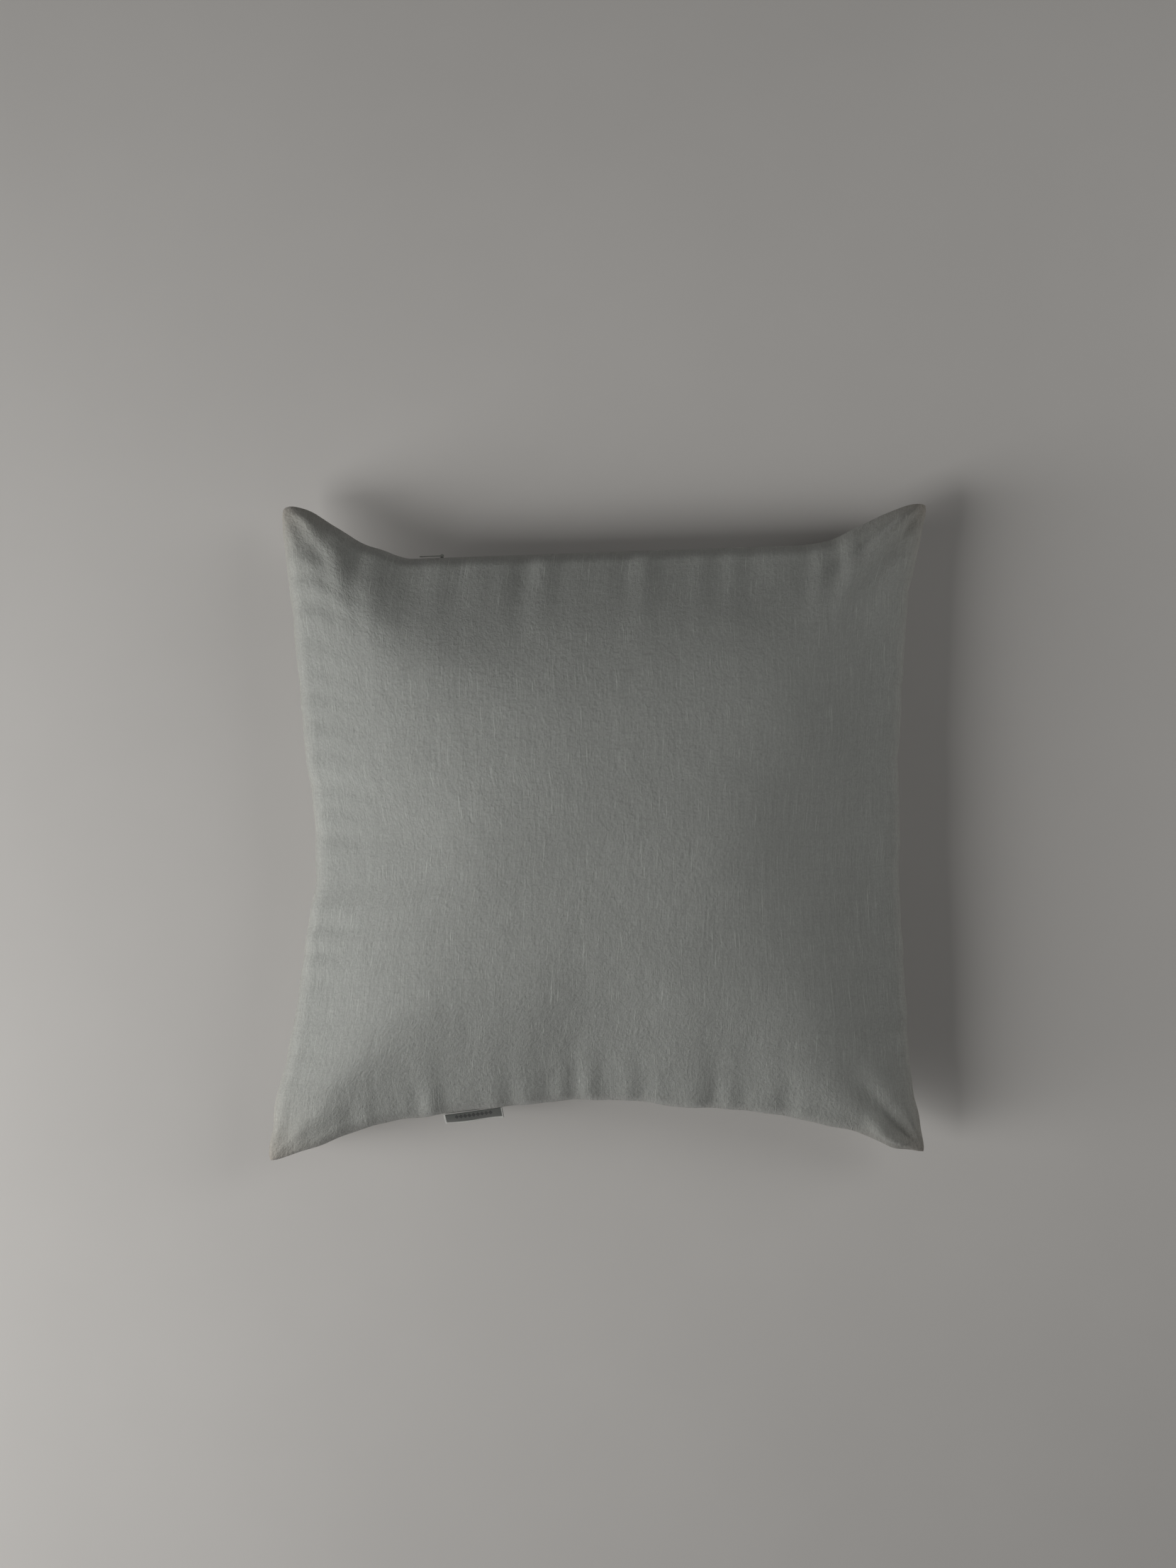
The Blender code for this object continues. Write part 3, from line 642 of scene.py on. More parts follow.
@dataclass(frozen=True)
class Outline:
    """The seam line, the same curves as the CAD cover's, with the small waves of sewn cloth."""

    near_left: tuple[float, float] = (-0.327, -0.327)
    near_right: tuple[float, float] = (0.325, -0.318)
    far_left: tuple[float, float] = (-0.314, 0.324)
    far_right: tuple[float, float] = (0.327, 0.327)
    near_pull: float = 0.059
    near_rounding: float = 2.2
    left_pull: float = 0.0435
    left_rounding_below: float = 1.5
    left_rounding_above: float = 1.1
    right_pull: float = 0.030
    right_rounding: float = 3.0
    far_y: float = 0.2757
    far_slope: float = math.tan(math.radians(2.0))
    straight_share: float = 0.60
    seam_height: float = 0.074
    tip_droop: float = 0.016
    level_share: float = 0.63
    half_cloth: float = 0.325
    zip_window: float = 0.585
    zip_window_end: float = 0.625
    blunt_share: float = 0.05
    blunting: float = 3.0 * MM
    kinks: tuple[Kink, ...] = (
        Kink(Side.NEAR, -0.64, 0.13, -4.2 * MM),
        Kink(Side.NEAR, -0.02, 0.12, -2.2 * MM),
        Kink(Side.NEAR, 0.25, 0.07, 4.6 * MM),
        Kink(Side.NEAR, 0.42, 0.08, 1.6 * MM),
        Kink(Side.NEAR, 0.90, 0.06, 4.5 * MM),
        Kink(Side.LEFT, -0.13, 0.05, -3.6 * MM),
        Kink(Side.LEFT, 0.30, 0.20, 2.6 * MM),
        Kink(Side.LEFT, -0.80, 0.08, 4.0 * MM),
        Kink(Side.RIGHT, 0.68, 0.12, -2.4 * MM),
        Kink(Side.RIGHT, 0.22, 0.10, -1.8 * MM),
        Kink(Side.RIGHT, -0.46, 0.16, 3.0 * MM),
        Kink(Side.FAR, -0.67, 0.05, 4.0 * MM),
    )

    def height(self, u: Array, v: Array) -> Array:
        """Seam height less droop c(u) c(v), c(t) = clip((|t| - level) / (1 - level))^2."""
        def towards_tip(t: Array) -> Array:
            return np.clip((np.abs(t) - self.level_share) / (1 - self.level_share), 0, 1) ** 2
        return self.seam_height - self.tip_droop * towards_tip(u) * towards_tip(v)

    def window(self, side: Side, s: Array) -> Array:
        """1 along the zip, 0 elsewhere, easing over a short run at both of its ends."""
        if side is not Side.FAR:
            return np.zeros_like(s)
        return smooth((self.zip_window_end - np.abs(s)) / (self.zip_window_end - self.zip_window))

    def edge(self, side: Side, s: Array) -> Array:
        """Points of one edge in plan; s runs from -1 to 1 with u or v.

        Near, left and right edges are tip chords pulled in by pull (1 - |s|^rounding). The far one
        is a straight line that leaves for the tips by the ease 3t^2 - 2t^3.
        """
        ends = {Side.NEAR: (self.near_left, self.near_right), Side.FAR: (self.far_left, self.far_right),
                Side.LEFT: (self.near_left, self.far_left), Side.RIGHT: (self.near_right, self.far_right)}
        start, end = (np.asarray(tip) for tip in ends[side])
        mix = (s[..., None] + 1) / 2
        points = start * (1 - mix) + end * mix
        if side is Side.NEAR:
            points[..., 1] += self.near_pull * (1 - np.abs(s) ** self.near_rounding)
        elif side is Side.LEFT:
            rounding = np.where(s > 0, self.left_rounding_above, self.left_rounding_below)
            points[..., 0] += self.left_pull * (1 - np.abs(s) ** rounding)
        elif side is Side.RIGHT:
            points[..., 0] -= self.right_pull * (1 - np.abs(s) ** self.right_rounding)
        else:
            rise = np.where(s < 0, start[1] - self.far_y - self.far_slope * start[0],
                            end[1] - self.far_y - self.far_slope * end[0])
            past = smooth((np.abs(s) - self.straight_share) / (1 - self.straight_share))
            points[..., 1] = self.far_y + self.far_slope * points[..., 0] + rise * past
        points[..., 1 if side.value[0] else 0] += side.value[1] * self.wave(side, s)
        return points

    def wave(self, side: Side, s: Array) -> Array:
        """Outward waves: the kinks, and a ripple of three sines, none at the tips or the zip."""
        turn = 7.0 * (1 + list(Side).index(side))
        ripple = (0.45 * np.sin(21 * s + turn) + 0.35 * np.sin(37 * s + 2 * turn)
                  + 0.25 * np.sin(61 * s + 3 * turn)) * MM
        for kink in self.kinks:
            if kink.side is side:
                ripple = ripple + kink.depth * bump_at(s, kink.at, kink.width)
        return ripple * smooth((1 - np.abs(s)) / 0.12) * (1 - self.window(side, s))

    def blunt(self, u: Array, v: Array) -> Array:
        """Inward shift that rounds the four tips: blunting q^2, q = 1 in a corner of the cloth."""
        q = np.clip((np.abs(u) + np.abs(v) - 2 + self.blunt_share) / self.blunt_share, 0, 1)
        size = -self.blunting * q**2
        return np.stack([size * np.sign(u), size * np.sign(v), np.zeros_like(u)], -1)

    def seam(self, u: Array, v: Array) -> Array:
        """The sheet that spans the seam: a Coons patch between the four edges, at seam height."""
        a, b = ((u + 1) / 2)[..., None], ((v + 1) / 2)[..., None]
        tips = ((1 - a) * (1 - b) * np.asarray(self.near_left) + a * (1 - b) * np.asarray(self.near_right)
                + (1 - a) * b * np.asarray(self.far_left) + a * b * np.asarray(self.far_right))
        flat = ((1 - b) * self.edge(Side.NEAR, u) + b * self.edge(Side.FAR, u)
                + (1 - a) * self.edge(Side.LEFT, v) + a * self.edge(Side.RIGHT, v) - tips)
        return np.concatenate([flat, self.height(u, v)[..., None]], -1) + self.blunt(u, v)


# The stuffed form

@dataclass
class StuffedForm:
    """The two panels: a dome, with a softened share of how their filling blows them up."""

    outline: Outline
    cells: int = 64
    frames: int = 46
    fine: int = 164
    thickness: float = 0.1785
    volume: float = 0.049
    tension: float = 60.0
    bottom_crown: float = 0.086
    ease_passes: int = 60
    slack_share: float = 0.32

    def __post_init__(self) -> None:
        """Simulate, fit the simulation and a plain dome to the outline, and add a softened share of their
        difference to the dome.
        """
        top, bottom = self.simulated()
        u, v = cloth_grid(self.fine)
        seam = self.outline.seam(u, v)
        plain = [self.fitted(resample(half, self.fine)) for half in self.domed()]
        blown = [self.fitted(resample(half, self.fine)) for half in (top, bottom)]
        top, bottom = (dome + self.slack_share * self.eased(half - dome)
                       for half, dome in zip(blown, plain))
        above = top[..., 2] - seam[..., 2]
        top[..., 2] = seam[..., 2] + above * (self.thickness - seam[..., 2].max()) / above.max()
        lumps = self.lumps(u, v)
        top[..., 2] += lumps
        bottom[..., 2] += np.where(bottom[..., 2] > 0.03, -lumps, 0)
        low = bottom[..., 2].min()
        bottom[..., 2] -= low * smooth((seam[..., 2] - bottom[..., 2]) / (seam[..., 2] - low))
        bottom[..., 2] = np.maximum(bottom[..., 2], 0)
        log.info("stuffed form: %.0f to %.0f mm", bottom[..., 2].min() / MM, top[..., 2].max() / MM)
        self.seam_sheet = seam
        self.above = top - seam
        self.below = bottom - seam

    def domed(self) -> tuple[Array, Array]:
        u, v = cloth_grid(self.cells)
        dome = np.sqrt((1 - u**2) * (1 - v**2))
        seam = self.outline.seam(u, v)
        top, bottom = seam.copy(), seam.copy()
        top[..., 2] += (self.thickness - self.outline.seam_height) * dome
        bottom[..., 2] = np.maximum(bottom[..., 2] - self.bottom_crown * dome, 0)
        return top, bottom

    def simulated(self) -> tuple[Array, Array]:
        """Two flat panels with one shared border, inflated to their volume above a floor.

        Returns:
            The top and bottom panels, each a square grid of points.
        """
        n = self.cells
        u, v = cloth_grid(n)
        start = 0.012 * (1 - u**4) * (1 - v**4)
        half = self.outline.half_cloth
        top = np.stack([u * half, v * half, 0.075 + start], -1)
        bottom = np.stack([u * half, v * half, 0.075 - start], -1)
        top_ids = np.arange((n + 1) ** 2).reshape(n + 1, n + 1)
        bottom_ids = top_ids.copy()
        bottom_ids[1:-1, 1:-1] = (n + 1) ** 2 + np.arange((n - 1) ** 2).reshape(n - 1, n - 1)
        points = np.concatenate([top.reshape(-1, 3), bottom[1:-1, 1:-1].reshape(-1, 3)])
        faces = np.concatenate([grid_quads(top_ids), grid_quads(bottom_ids, True)]).tolist()
        plain = bpy.data.materials.new("trial_cloth")
        bag = new_piece("trial_bag", points, faces, plain)
        ground = new_piece("trial_floor", np.array([[-2, -2, 0], [2, -2, 0], [2, 2, 0], [-2, 2, 0.0]]),
                           [[0, 1, 2, 3]], plain)
        ground.modifiers.new("contact", "COLLISION")
        ground.collision.thickness_outer = 2 * MM
        ground.collision.cloth_friction = 20
        cloth = bag.modifiers.new("cloth", "CLOTH")
        stuff = cloth.settings
        stuff.quality = 5
        stuff.mass = 0.02 * (56 / n) ** 2
        stuff.tension_stiffness = stuff.compression_stiffness = self.tension
        stuff.shear_stiffness = 0.15 * self.tension
        stuff.bending_stiffness = 0.5
        stuff.tension_damping = stuff.compression_damping = 8
        stuff.shear_damping = 6
        stuff.bending_damping = 0.6
        stuff.air_damping = 2
        stuff.use_pressure = stuff.use_pressure_volume = True
        stuff.uniform_pressure_force = 0
        stuff.target_volume = self.volume
        stuff.pressure_factor = 3
        stuff.effector_weights.gravity = 0.05
        cloth.collision_settings.distance_min = 2 * MM
        cloth.collision_settings.use_self_collision = False
        cloth.point_cache.frame_start, cloth.point_cache.frame_end = 1, self.frames
        for step in range(1, self.frames + 1):
            bpy.context.scene.frame_set(step)
        settled = bag.evaluated_get(bpy.context.evaluated_depsgraph_get()).data
        places = np.empty(3 * len(settled.vertices))
        settled.vertices.foreach_get("co", places)
        places = places.reshape(-1, 3)
        for trial in (bag, ground):
            mesh = trial.data
            bpy.data.objects.remove(trial, do_unlink=True)
            bpy.data.meshes.remove(mesh)
        bpy.data.materials.remove(plain)
        bpy.context.scene.frame_set(1)
        return places[top_ids], places[bottom_ids]

    def fitted(self, panel: Array) -> Array:
        """Carry a panel's border to the outline, and what lies between by the same Coons patch."""
        run = np.linspace(-1, 1, len(panel))
        mine = {Side.NEAR: panel[:, 0], Side.FAR: panel[:, -1], Side.LEFT: panel[0], Side.RIGHT: panel[-1]}
        shift = {}
        for side, points in mine.items():
            other = np.full_like(run, side.value[1])
            u, v = (run, other) if side.value[0] else (other, run)
            shift[side] = self.outline.seam(u, v) - points
        a = ((run + 1) / 2)[:, None, None]
        b = ((run + 1) / 2)[None, :, None]
        near, far = shift[Side.NEAR][:, None], shift[Side.FAR][:, None]
        left, right = shift[Side.LEFT][None], shift[Side.RIGHT][None]
        tips = ((1 - a) * (1 - b) * near[:1] + a * (1 - b) * near[-1:]
                + (1 - a) * b * far[:1] + a * b * far[-1:])
        return panel + (1 - b) * near + b * far + (1 - a) * left + a * right - tips

    def eased(self, extra: Array) -> Array:
        """Soften creases a slack, well washed cover doesn't show: (1, 2, 1) / 4 passes, border held."""
        for _ in range(self.ease_passes):
            for axis in (0, 1):
                ahead, behind = np.roll(extra, -1, axis), np.roll(extra, 1, axis)
                softer = 0.5 * extra + 0.25 * (ahead + behind)
                extra[1:-1, 1:-1] = softer[1:-1, 1:-1]
        return extra

    def lumps(self, u: Array, v: Array) -> Array:
        """Unevenness of the filling: slow crossed sines, none near the seam."""
        field_ = (np.sin(5.1 * u + 2.3 * v + 0.6) + 0.8 * np.sin(-3.7 * u + 6.2 * v + 2.0)
                  + 0.6 * np.sin(8.8 * u - 4.9 * v + 4.1))
        return 0.75 * MM * field_ * smooth((1 - u**2) * (1 - v**2) / 0.35)

    def sheet(self, side: int, reach: float, rise: float, cells: int) -> Array:
        """A surface inside the cover: seam(reach u, reach v) + rise (panel - seam)(u, v).

        Args:
            side: 1 for above the seam, -1 for below it.
            reach: How far out the surface goes, as a share of the panel.
            rise: Its height as a share of the cover's.
            cells: Cells along each side.

        Returns:
            A square grid of points.
        """
        u, v = cloth_grid(cells)
        lift = resample(self.above if side > 0 else self.below, cells)
        return self.outline.seam(u * reach, v * reach) + rise * lift


# The cover

@dataclass
class Cover:
    """Two linen panels: puckered skins, rolled at the seam, with turned-in allowances."""

    form: StuffedForm
    finish: Finishes
    cloth: float = 0.5 * MM
    roll: float = 1.2 * MM
    gap: float = 0.15 * MM
    zip_roll: float = 0.55 * MM
    zip_gap: float = 1.0 * MM
    zip_wall: float = 5.0 * MM
    allowance: float = 12 * MM
    settle: float = 25 * MM
    label_span: tuple[float, float] = (-0.47, -0.28)
    label_room: float = 0.40 * MM
    care_span: tuple[float, float] = (0.0, 0.28)
    care_room: float = 0.15 * MM

    def border_coordinates(self) -> tuple[Array, Array]:
        """Cloth coordinates of the panel's border, once round."""
        u, v = cloth_grid(self.form.fine)
        return border(u), border(v)

    def window(self) -> Array:
        """1 at the zip and 0 elsewhere, round the border."""
        u, v = self.border_coordinates()
        return np.where(v >= 1, self.form.outline.window(Side.FAR, u), 0)

    def room(self) -> Array:
        """Extra gap between the allowances where a label is sewn in."""
        u, v = self.border_coordinates()
        extra = np.zeros_like(u)
        for on, place, span, size in ((v <= -1, u, self.label_span, self.label_room),
                                      (u <= -1, v, self.care_span, self.care_room)):
            within = smooth((place - span[0] + 0.03) / 0.03) * smooth((span[1] + 0.03 - place) / 0.03)
            extra += np.where(on, size * within, 0)
        return extra

    def outward(self) -> Array:
        """Horizontal unit vectors out of the cushion, round the border."""
        line = border(self.form.seam_sheet)
        ahead = unit(np.roll(line, -2, 0) + np.roll(line, -1, 0) - np.roll(line, 1, 0) - np.roll(line, 2, 0))
        return unit(np.column_stack([ahead[:, 1], -ahead[:, 0], np.zeros(len(line))]))

    def edge_profile(self) -> Array:
        """Rows of (inset, rise) from the skin's border round the roll and along the allowance.

        Away from the zip a roll of radius r turns from 35 degrees above level to straight down, and
        the allowance lies beside its neighbour. At the zip a narrow lip drops to a small roll, goes
        back up behind itself and turns in above the tape.
        """
        def arc(radius: float, gap: float, angles: Sequence[float]) -> Array:
            turn = np.radians(angles)
            return np.column_stack([radius - radius * np.cos(turn), gap + radius + radius * np.sin(turn)])

        inward = np.array([1.9, 2.8, 4.2, 6.5, 9.2, self.allowance / MM]) * MM
        splay = self.gap + 0.65 * MM * smooth((inward - 2 * MM) / (self.allowance - 2 * MM))
        plain = np.concatenate([arc(self.roll, self.gap, (35, 10, -20, -50, -75, -90)),
                                np.column_stack([inward, splay])])
        lip = arc(self.zip_roll, self.zip_gap, (0, -45, -90, -135, -180))
        behind = np.array([(1.1, 2.6), (1.15, 3.2), (1.7, 3.6), (4, 3.6), (8, 3.6), (12, 3.6)]) * MM
        zipped = np.concatenate([[[0, self.zip_wall]], lip, behind])
        return np.stack([plain, zipped])

    def puckers(self, u: Array, v: Array, side: int) -> Array:
        """Gathers along the seams and folds that fan out of the tips, as heights above the skin.

        Beside a seam: amplitude (d / reach) e^(1 - d / reach) times waves along it, d the distance
        from it. At a tip: (r / reach) e^(1 - r / reach) cos(n angle + turn), none on its two edges.
        """
        half = self.form.outline.half_cloth
        total = np.zeros_like(u)
        gathers = {
            Side.NEAR: (1.0 * MM, 16 * MM, (0.034, 0.057, 0.023)),
            Side.RIGHT: (0.60 * MM, 15 * MM, (0.041, 0.027, 0.066)),
            Side.FAR: (1.25 * MM, 24 * MM, (0.046, 0.031, 0.073)),
            Side.LEFT: (1.0 * MM, 17 * MM, (0.030, 0.052, 0.024)),
        }
        for number, (edge, (size, reach, waves)) in enumerate(gathers.items()):
            s, across = (u, v) if edge.value[0] else (v, u)
            depth = half * (1 - edge.value[1] * across)
            turn = 1.7 * number + 0.9 * side
            wave = sum(share * np.sin(2 * math.pi * half * s / length + turn * (k + 1)
                                      + 9 * np.sin(3 * s + turn) * 0.25)
                       for k, (length, share) in enumerate(zip(waves, (1.0, 0.7, 0.45))))
            swell = 0.45 + 0.55 * np.sin(6.3 * s + 2.2 * turn) ** 2
            total += size * wave * swell * (depth / reach) * np.exp(1 - depth / reach)
        folds = {(-1, -1): (1.2, 34, 7, 0.4), (1, -1): (4.4, 48, 8, 2.2),
                 (-1, 1): (1.7, 44, 8, 1.1), (1, 1): (4.8, 52, 8, 0.2)}
        for (tip_u, tip_v), (size, reach, count, turn) in folds.items():
            x, y = half * (1 - tip_u * u) + 1e-6, half * (1 - tip_v * v) + 1e-6
            radius = np.hypot(x, y)
            angle = np.arctan2(y, x)
            fan = np.cos(count * angle + turn + side) * np.sin(2 * angle) ** 0.7
            near = radius / (reach * MM)
            total += size * MM * fan * near**1.3 * np.exp(1 - near**1.3)
        return total

    def skin(self, side: int) -> Array:
        """The outside of one panel, puckered, with its border lifted to meet the roll.

        Args:
            side: 1 for the top panel, -1 for the bottom one.

        Returns:
            A square grid of points.
        """
        form = self.form
        u, v = cloth_grid(form.fine)
        points = form.seam_sheet + (form.above if side > 0 else form.below)
        normal = unit(np.cross(np.gradient(points, axis=0), np.gradient(points, axis=1)))
        resting = smooth(points[..., 2] / 0.02)
        points = points + side * normal * (self.puckers(u, v, side) * resting)[..., None]
        inset = form.outline.half_cloth * (1 - np.maximum(np.abs(u), np.abs(v)))
        window = np.where(v > 0, form.outline.window(Side.FAR, u), 0)
        plain, zipped = self.edge_profile()[:, 0]
        far_inset = form.outline.half_cloth * (1 - v)
        rise = plain[1] + (zipped[1] - plain[1]) * window
        depth = inset + (far_inset - inset) * window
        points[..., 2] += side * rise * np.exp(-((depth / self.settle) ** 1.5))
        blend = np.exp(-((inset / (4 * MM)) ** 2))
        points[..., :2] -= self.inward_shift(u, v, plain[0]) * (blend * (1 - window))[..., None]
        if side < 0:
            points[..., 2] = np.maximum(points[..., 2], 0)
        return points

    def inward_shift(self, u: Array, v: Array, size: float) -> Array:
        """A small outward vector near each border, the size of the roll's setback."""
        strong = np.maximum(np.abs(u), np.abs(v))
        outward = np.stack([u * (np.abs(u) > strong - 1e-9), v * (np.abs(v) > strong - 1e-9)], -1)
        return size * outward / np.maximum(np.linalg.norm(outward, axis=-1, keepdims=True), 1e-9)

    def rows(self, side: int) -> Array:
        """The roll and the allowance of one panel: one closed loop of points for each row."""
        u, v = self.border_coordinates()
        line, outward = border(self.form.seam_sheet), self.outward()
        window, room = self.window()[:, None], self.room()
        plain, zipped = self.edge_profile()
        loops = []
        for row, (first, second) in enumerate(zip(plain, zipped)):
            inset = first[0] + (second[0] - first[0]) * window[:, 0]
            rise = first[1] + (second[1] - first[1]) * window[:, 0] + room
            straight = line - outward * inset[:, None]
            share = 1 - inset / self.form.outline.half_cloth * 1.12
            turned = self.form.outline.seam(u * share, v * share)
            turned[:, :2] += (line - self.form.outline.seam(u, v))[:, :2]
            blend = smooth(np.array((row - 5) / 4.0)) * (1 - window)
            place = straight * (1 - blend) + turned * blend
            place[:, 2] = line[:, 2] + side * rise
            loops.append(place)
        return np.stack(loops[1:])

    def wear(self, u: Array, v: Array) -> Array:
        """How worn and open the weave is: 1 in the four tips, fading within a hand's width."""
        x, y = 1 - np.abs(u), 1 - np.abs(v)
        return np.clip(0.75 * np.exp(-np.hypot(x, y) / 0.10) + 0.25 * np.exp(-np.minimum(x, y) / 0.02), 0, 1)

    def panel(self, name: str, side: int) -> Piece:
        """One panel with its cloth positions, its wear and its thickness."""
        cells = self.form.fine
        skin, rows = self.skin(side), self.rows(side)
        u, v = cloth_grid(cells)
        ids = np.arange((cells + 1) ** 2).reshape(cells + 1, cells + 1)
        loops = [border(ids)]
        loops += list(ids.size + np.arange(rows.shape[0] * rows.shape[1]).reshape(rows.shape[:2]))
        faces = [grid_quads(ids, side < 0)]
        for here, after in zip(loops, loops[1:]):
            strip = np.stack([here, after, np.roll(after, -1), np.roll(here, -1)], -1)
            faces.append(strip if side > 0 else strip[:, ::-1])
        half = self.form.outline.half_cloth
        edge_u, edge_v = self.border_coordinates()
        beyond = np.stack([edge_u * (np.abs(edge_u) >= 1), edge_v * (np.abs(edge_v) >= 1)], -1)
        start = border(skin)
        steps = np.linalg.norm(np.diff(np.concatenate([start[None], rows]), axis=0), axis=-1)
        run = np.cumsum(steps, axis=0)[..., None]
        row_uv = np.stack([edge_u, edge_v], -1) * half + beyond * run
        grid_uv = np.stack([u, v], -1) * half
        uv = np.concatenate([grid_uv.reshape(-1, 2), row_uv.reshape(-1, 2)]) + (0.0 if side > 0 else 0.9)
        points = np.concatenate([skin.reshape(-1, 3), rows.reshape(-1, 3)])
        piece = new_piece(name, points, np.concatenate(faces).tolist(), self.finish.linen, uv)
        wear = np.concatenate([self.wear(u, v).ravel(),
                               np.tile(self.wear(edge_u, edge_v), rows.shape[0])])
        piece.data.attributes.new("wear", "FLOAT", "POINT").data.foreach_set("value", wear)
        return thicken(piece, self.cloth)

    def build(self) -> None:
        """Both panels."""
        for name, side, node in (("cover_top", 1, "cover_top_panel"),
                                 ("cover_bottom", -1, "cover_bottom_panel")):
            piece = carry(self.panel(name, side), "cushion", "cover_linen", node)


# Stitching

@dataclass
class SeamStitching:
    """Lockstitches along the cover's seam, and the overlock loops round both raw edges."""

    cover: Cover
    finish: Finishes
    inset: float = 1.5 * MM
    stitch: float = 3.2 * MM
    pitch: float = 3.6 * MM
    radius: float = 0.13 * MM
    overlock_pitch: float = 3.4 * MM
    overlock_radius: float = 0.14 * MM
    overlock_bite: float = 2.6 * MM

    def line(self, inset: float) -> tuple[Array, Array, Array]:
        """The border moved inwards, its outward directions, and the length run along it."""
        place = border(self.cover.form.seam_sheet) - self.cover.outward() * inset
        place = np.concatenate([place, place[:1]])
        outward = np.concatenate([self.cover.outward(), self.cover.outward()[:1]])
        run = np.concatenate([[0], np.cumsum(np.linalg.norm(np.diff(place, axis=0), axis=1))])
        return place, outward, run

    def at(self, run: Array, values: Array, lengths: Array) -> Array:
        """Values read at given lengths along the line."""
        return np.stack([np.interp(lengths, run, values[:, k]) for k in range(values.shape[1])], -1)

    def seam(self) -> Piece:
        """A row of short capsules, left out along the zip."""
        place, _, run = self.line(self.inset)
        starts = np.arange(0, run[-1] - self.pitch, self.pitch)
        u, v = self.cover.border_coordinates()
        at_zip = np.interp(starts, run[:-1], (v >= 1) * (np.abs(u) < self.cover.form.outline.zip_window_end))
        starts = starts[at_zip < 0.5]
        along = np.array([0, 0.12, 0.5, 0.88, 1.0]) * self.stitch
        paths = self.at(run, place, starts[:, None] + along)
        rings = tubes(paths, self.radius * np.array([0.3, 0.9, 1, 0.9, 0.3]), 6)
        return lofted("seam_stitches", rings, self.finish.thread)

    def overlock(self, name: str, side: int) -> Piece:
        """One serpentine that wraps the raw edge: in along the face, round the edge and back."""
        edge = self.cover.allowance
        place, outward, run = self.line(edge)
        turns = int(run[-1] / self.overlock_pitch)
        steps = 8
        turn = np.arange(turns * steps) / steps
        angle = 2 * math.pi * turn
        lengths = turn * run[-1] / turns
        base = self.at(run, place, lengths)
        away = self.at(run, outward, lengths)
        plain, zipped = self.cover.edge_profile()[:, -1, 1]
        window = np.interp(lengths, run[:-1], self.cover.window())
        level = plain + (zipped - plain) * window + self.cover.cloth / 2
        level += np.interp(lengths, run[:-1], self.cover.room())
        bite = 0.5 * self.overlock_bite * (1 + np.cos(angle))
        out = (bite - 0.45 * MM)[:, None] * away
        half_loop = (self.cover.cloth / 2 + 0.22 * MM) * np.sin(angle)
        path = base + out
        path[:, 2] = base[:, 2] + side * level + half_loop
        rings = tubes(path[None], self.overlock_radius, 5)
        return lofted(name, rings, self.finish.thread, loop=True)

    def build(self) -> None:
        """The seam's stitches and both overlocked edges."""
        carry(self.seam(), "cushion", "sewing_thread", "cover_seam_thread")
        carry(self.overlock("overlock_top", 1), "cushion", "sewing_thread", "overlock_thread_top")
        carry(self.overlock("overlock_bottom", -1), "cushion", "sewing_thread", "overlock_thread_bottom")


# Inner pad

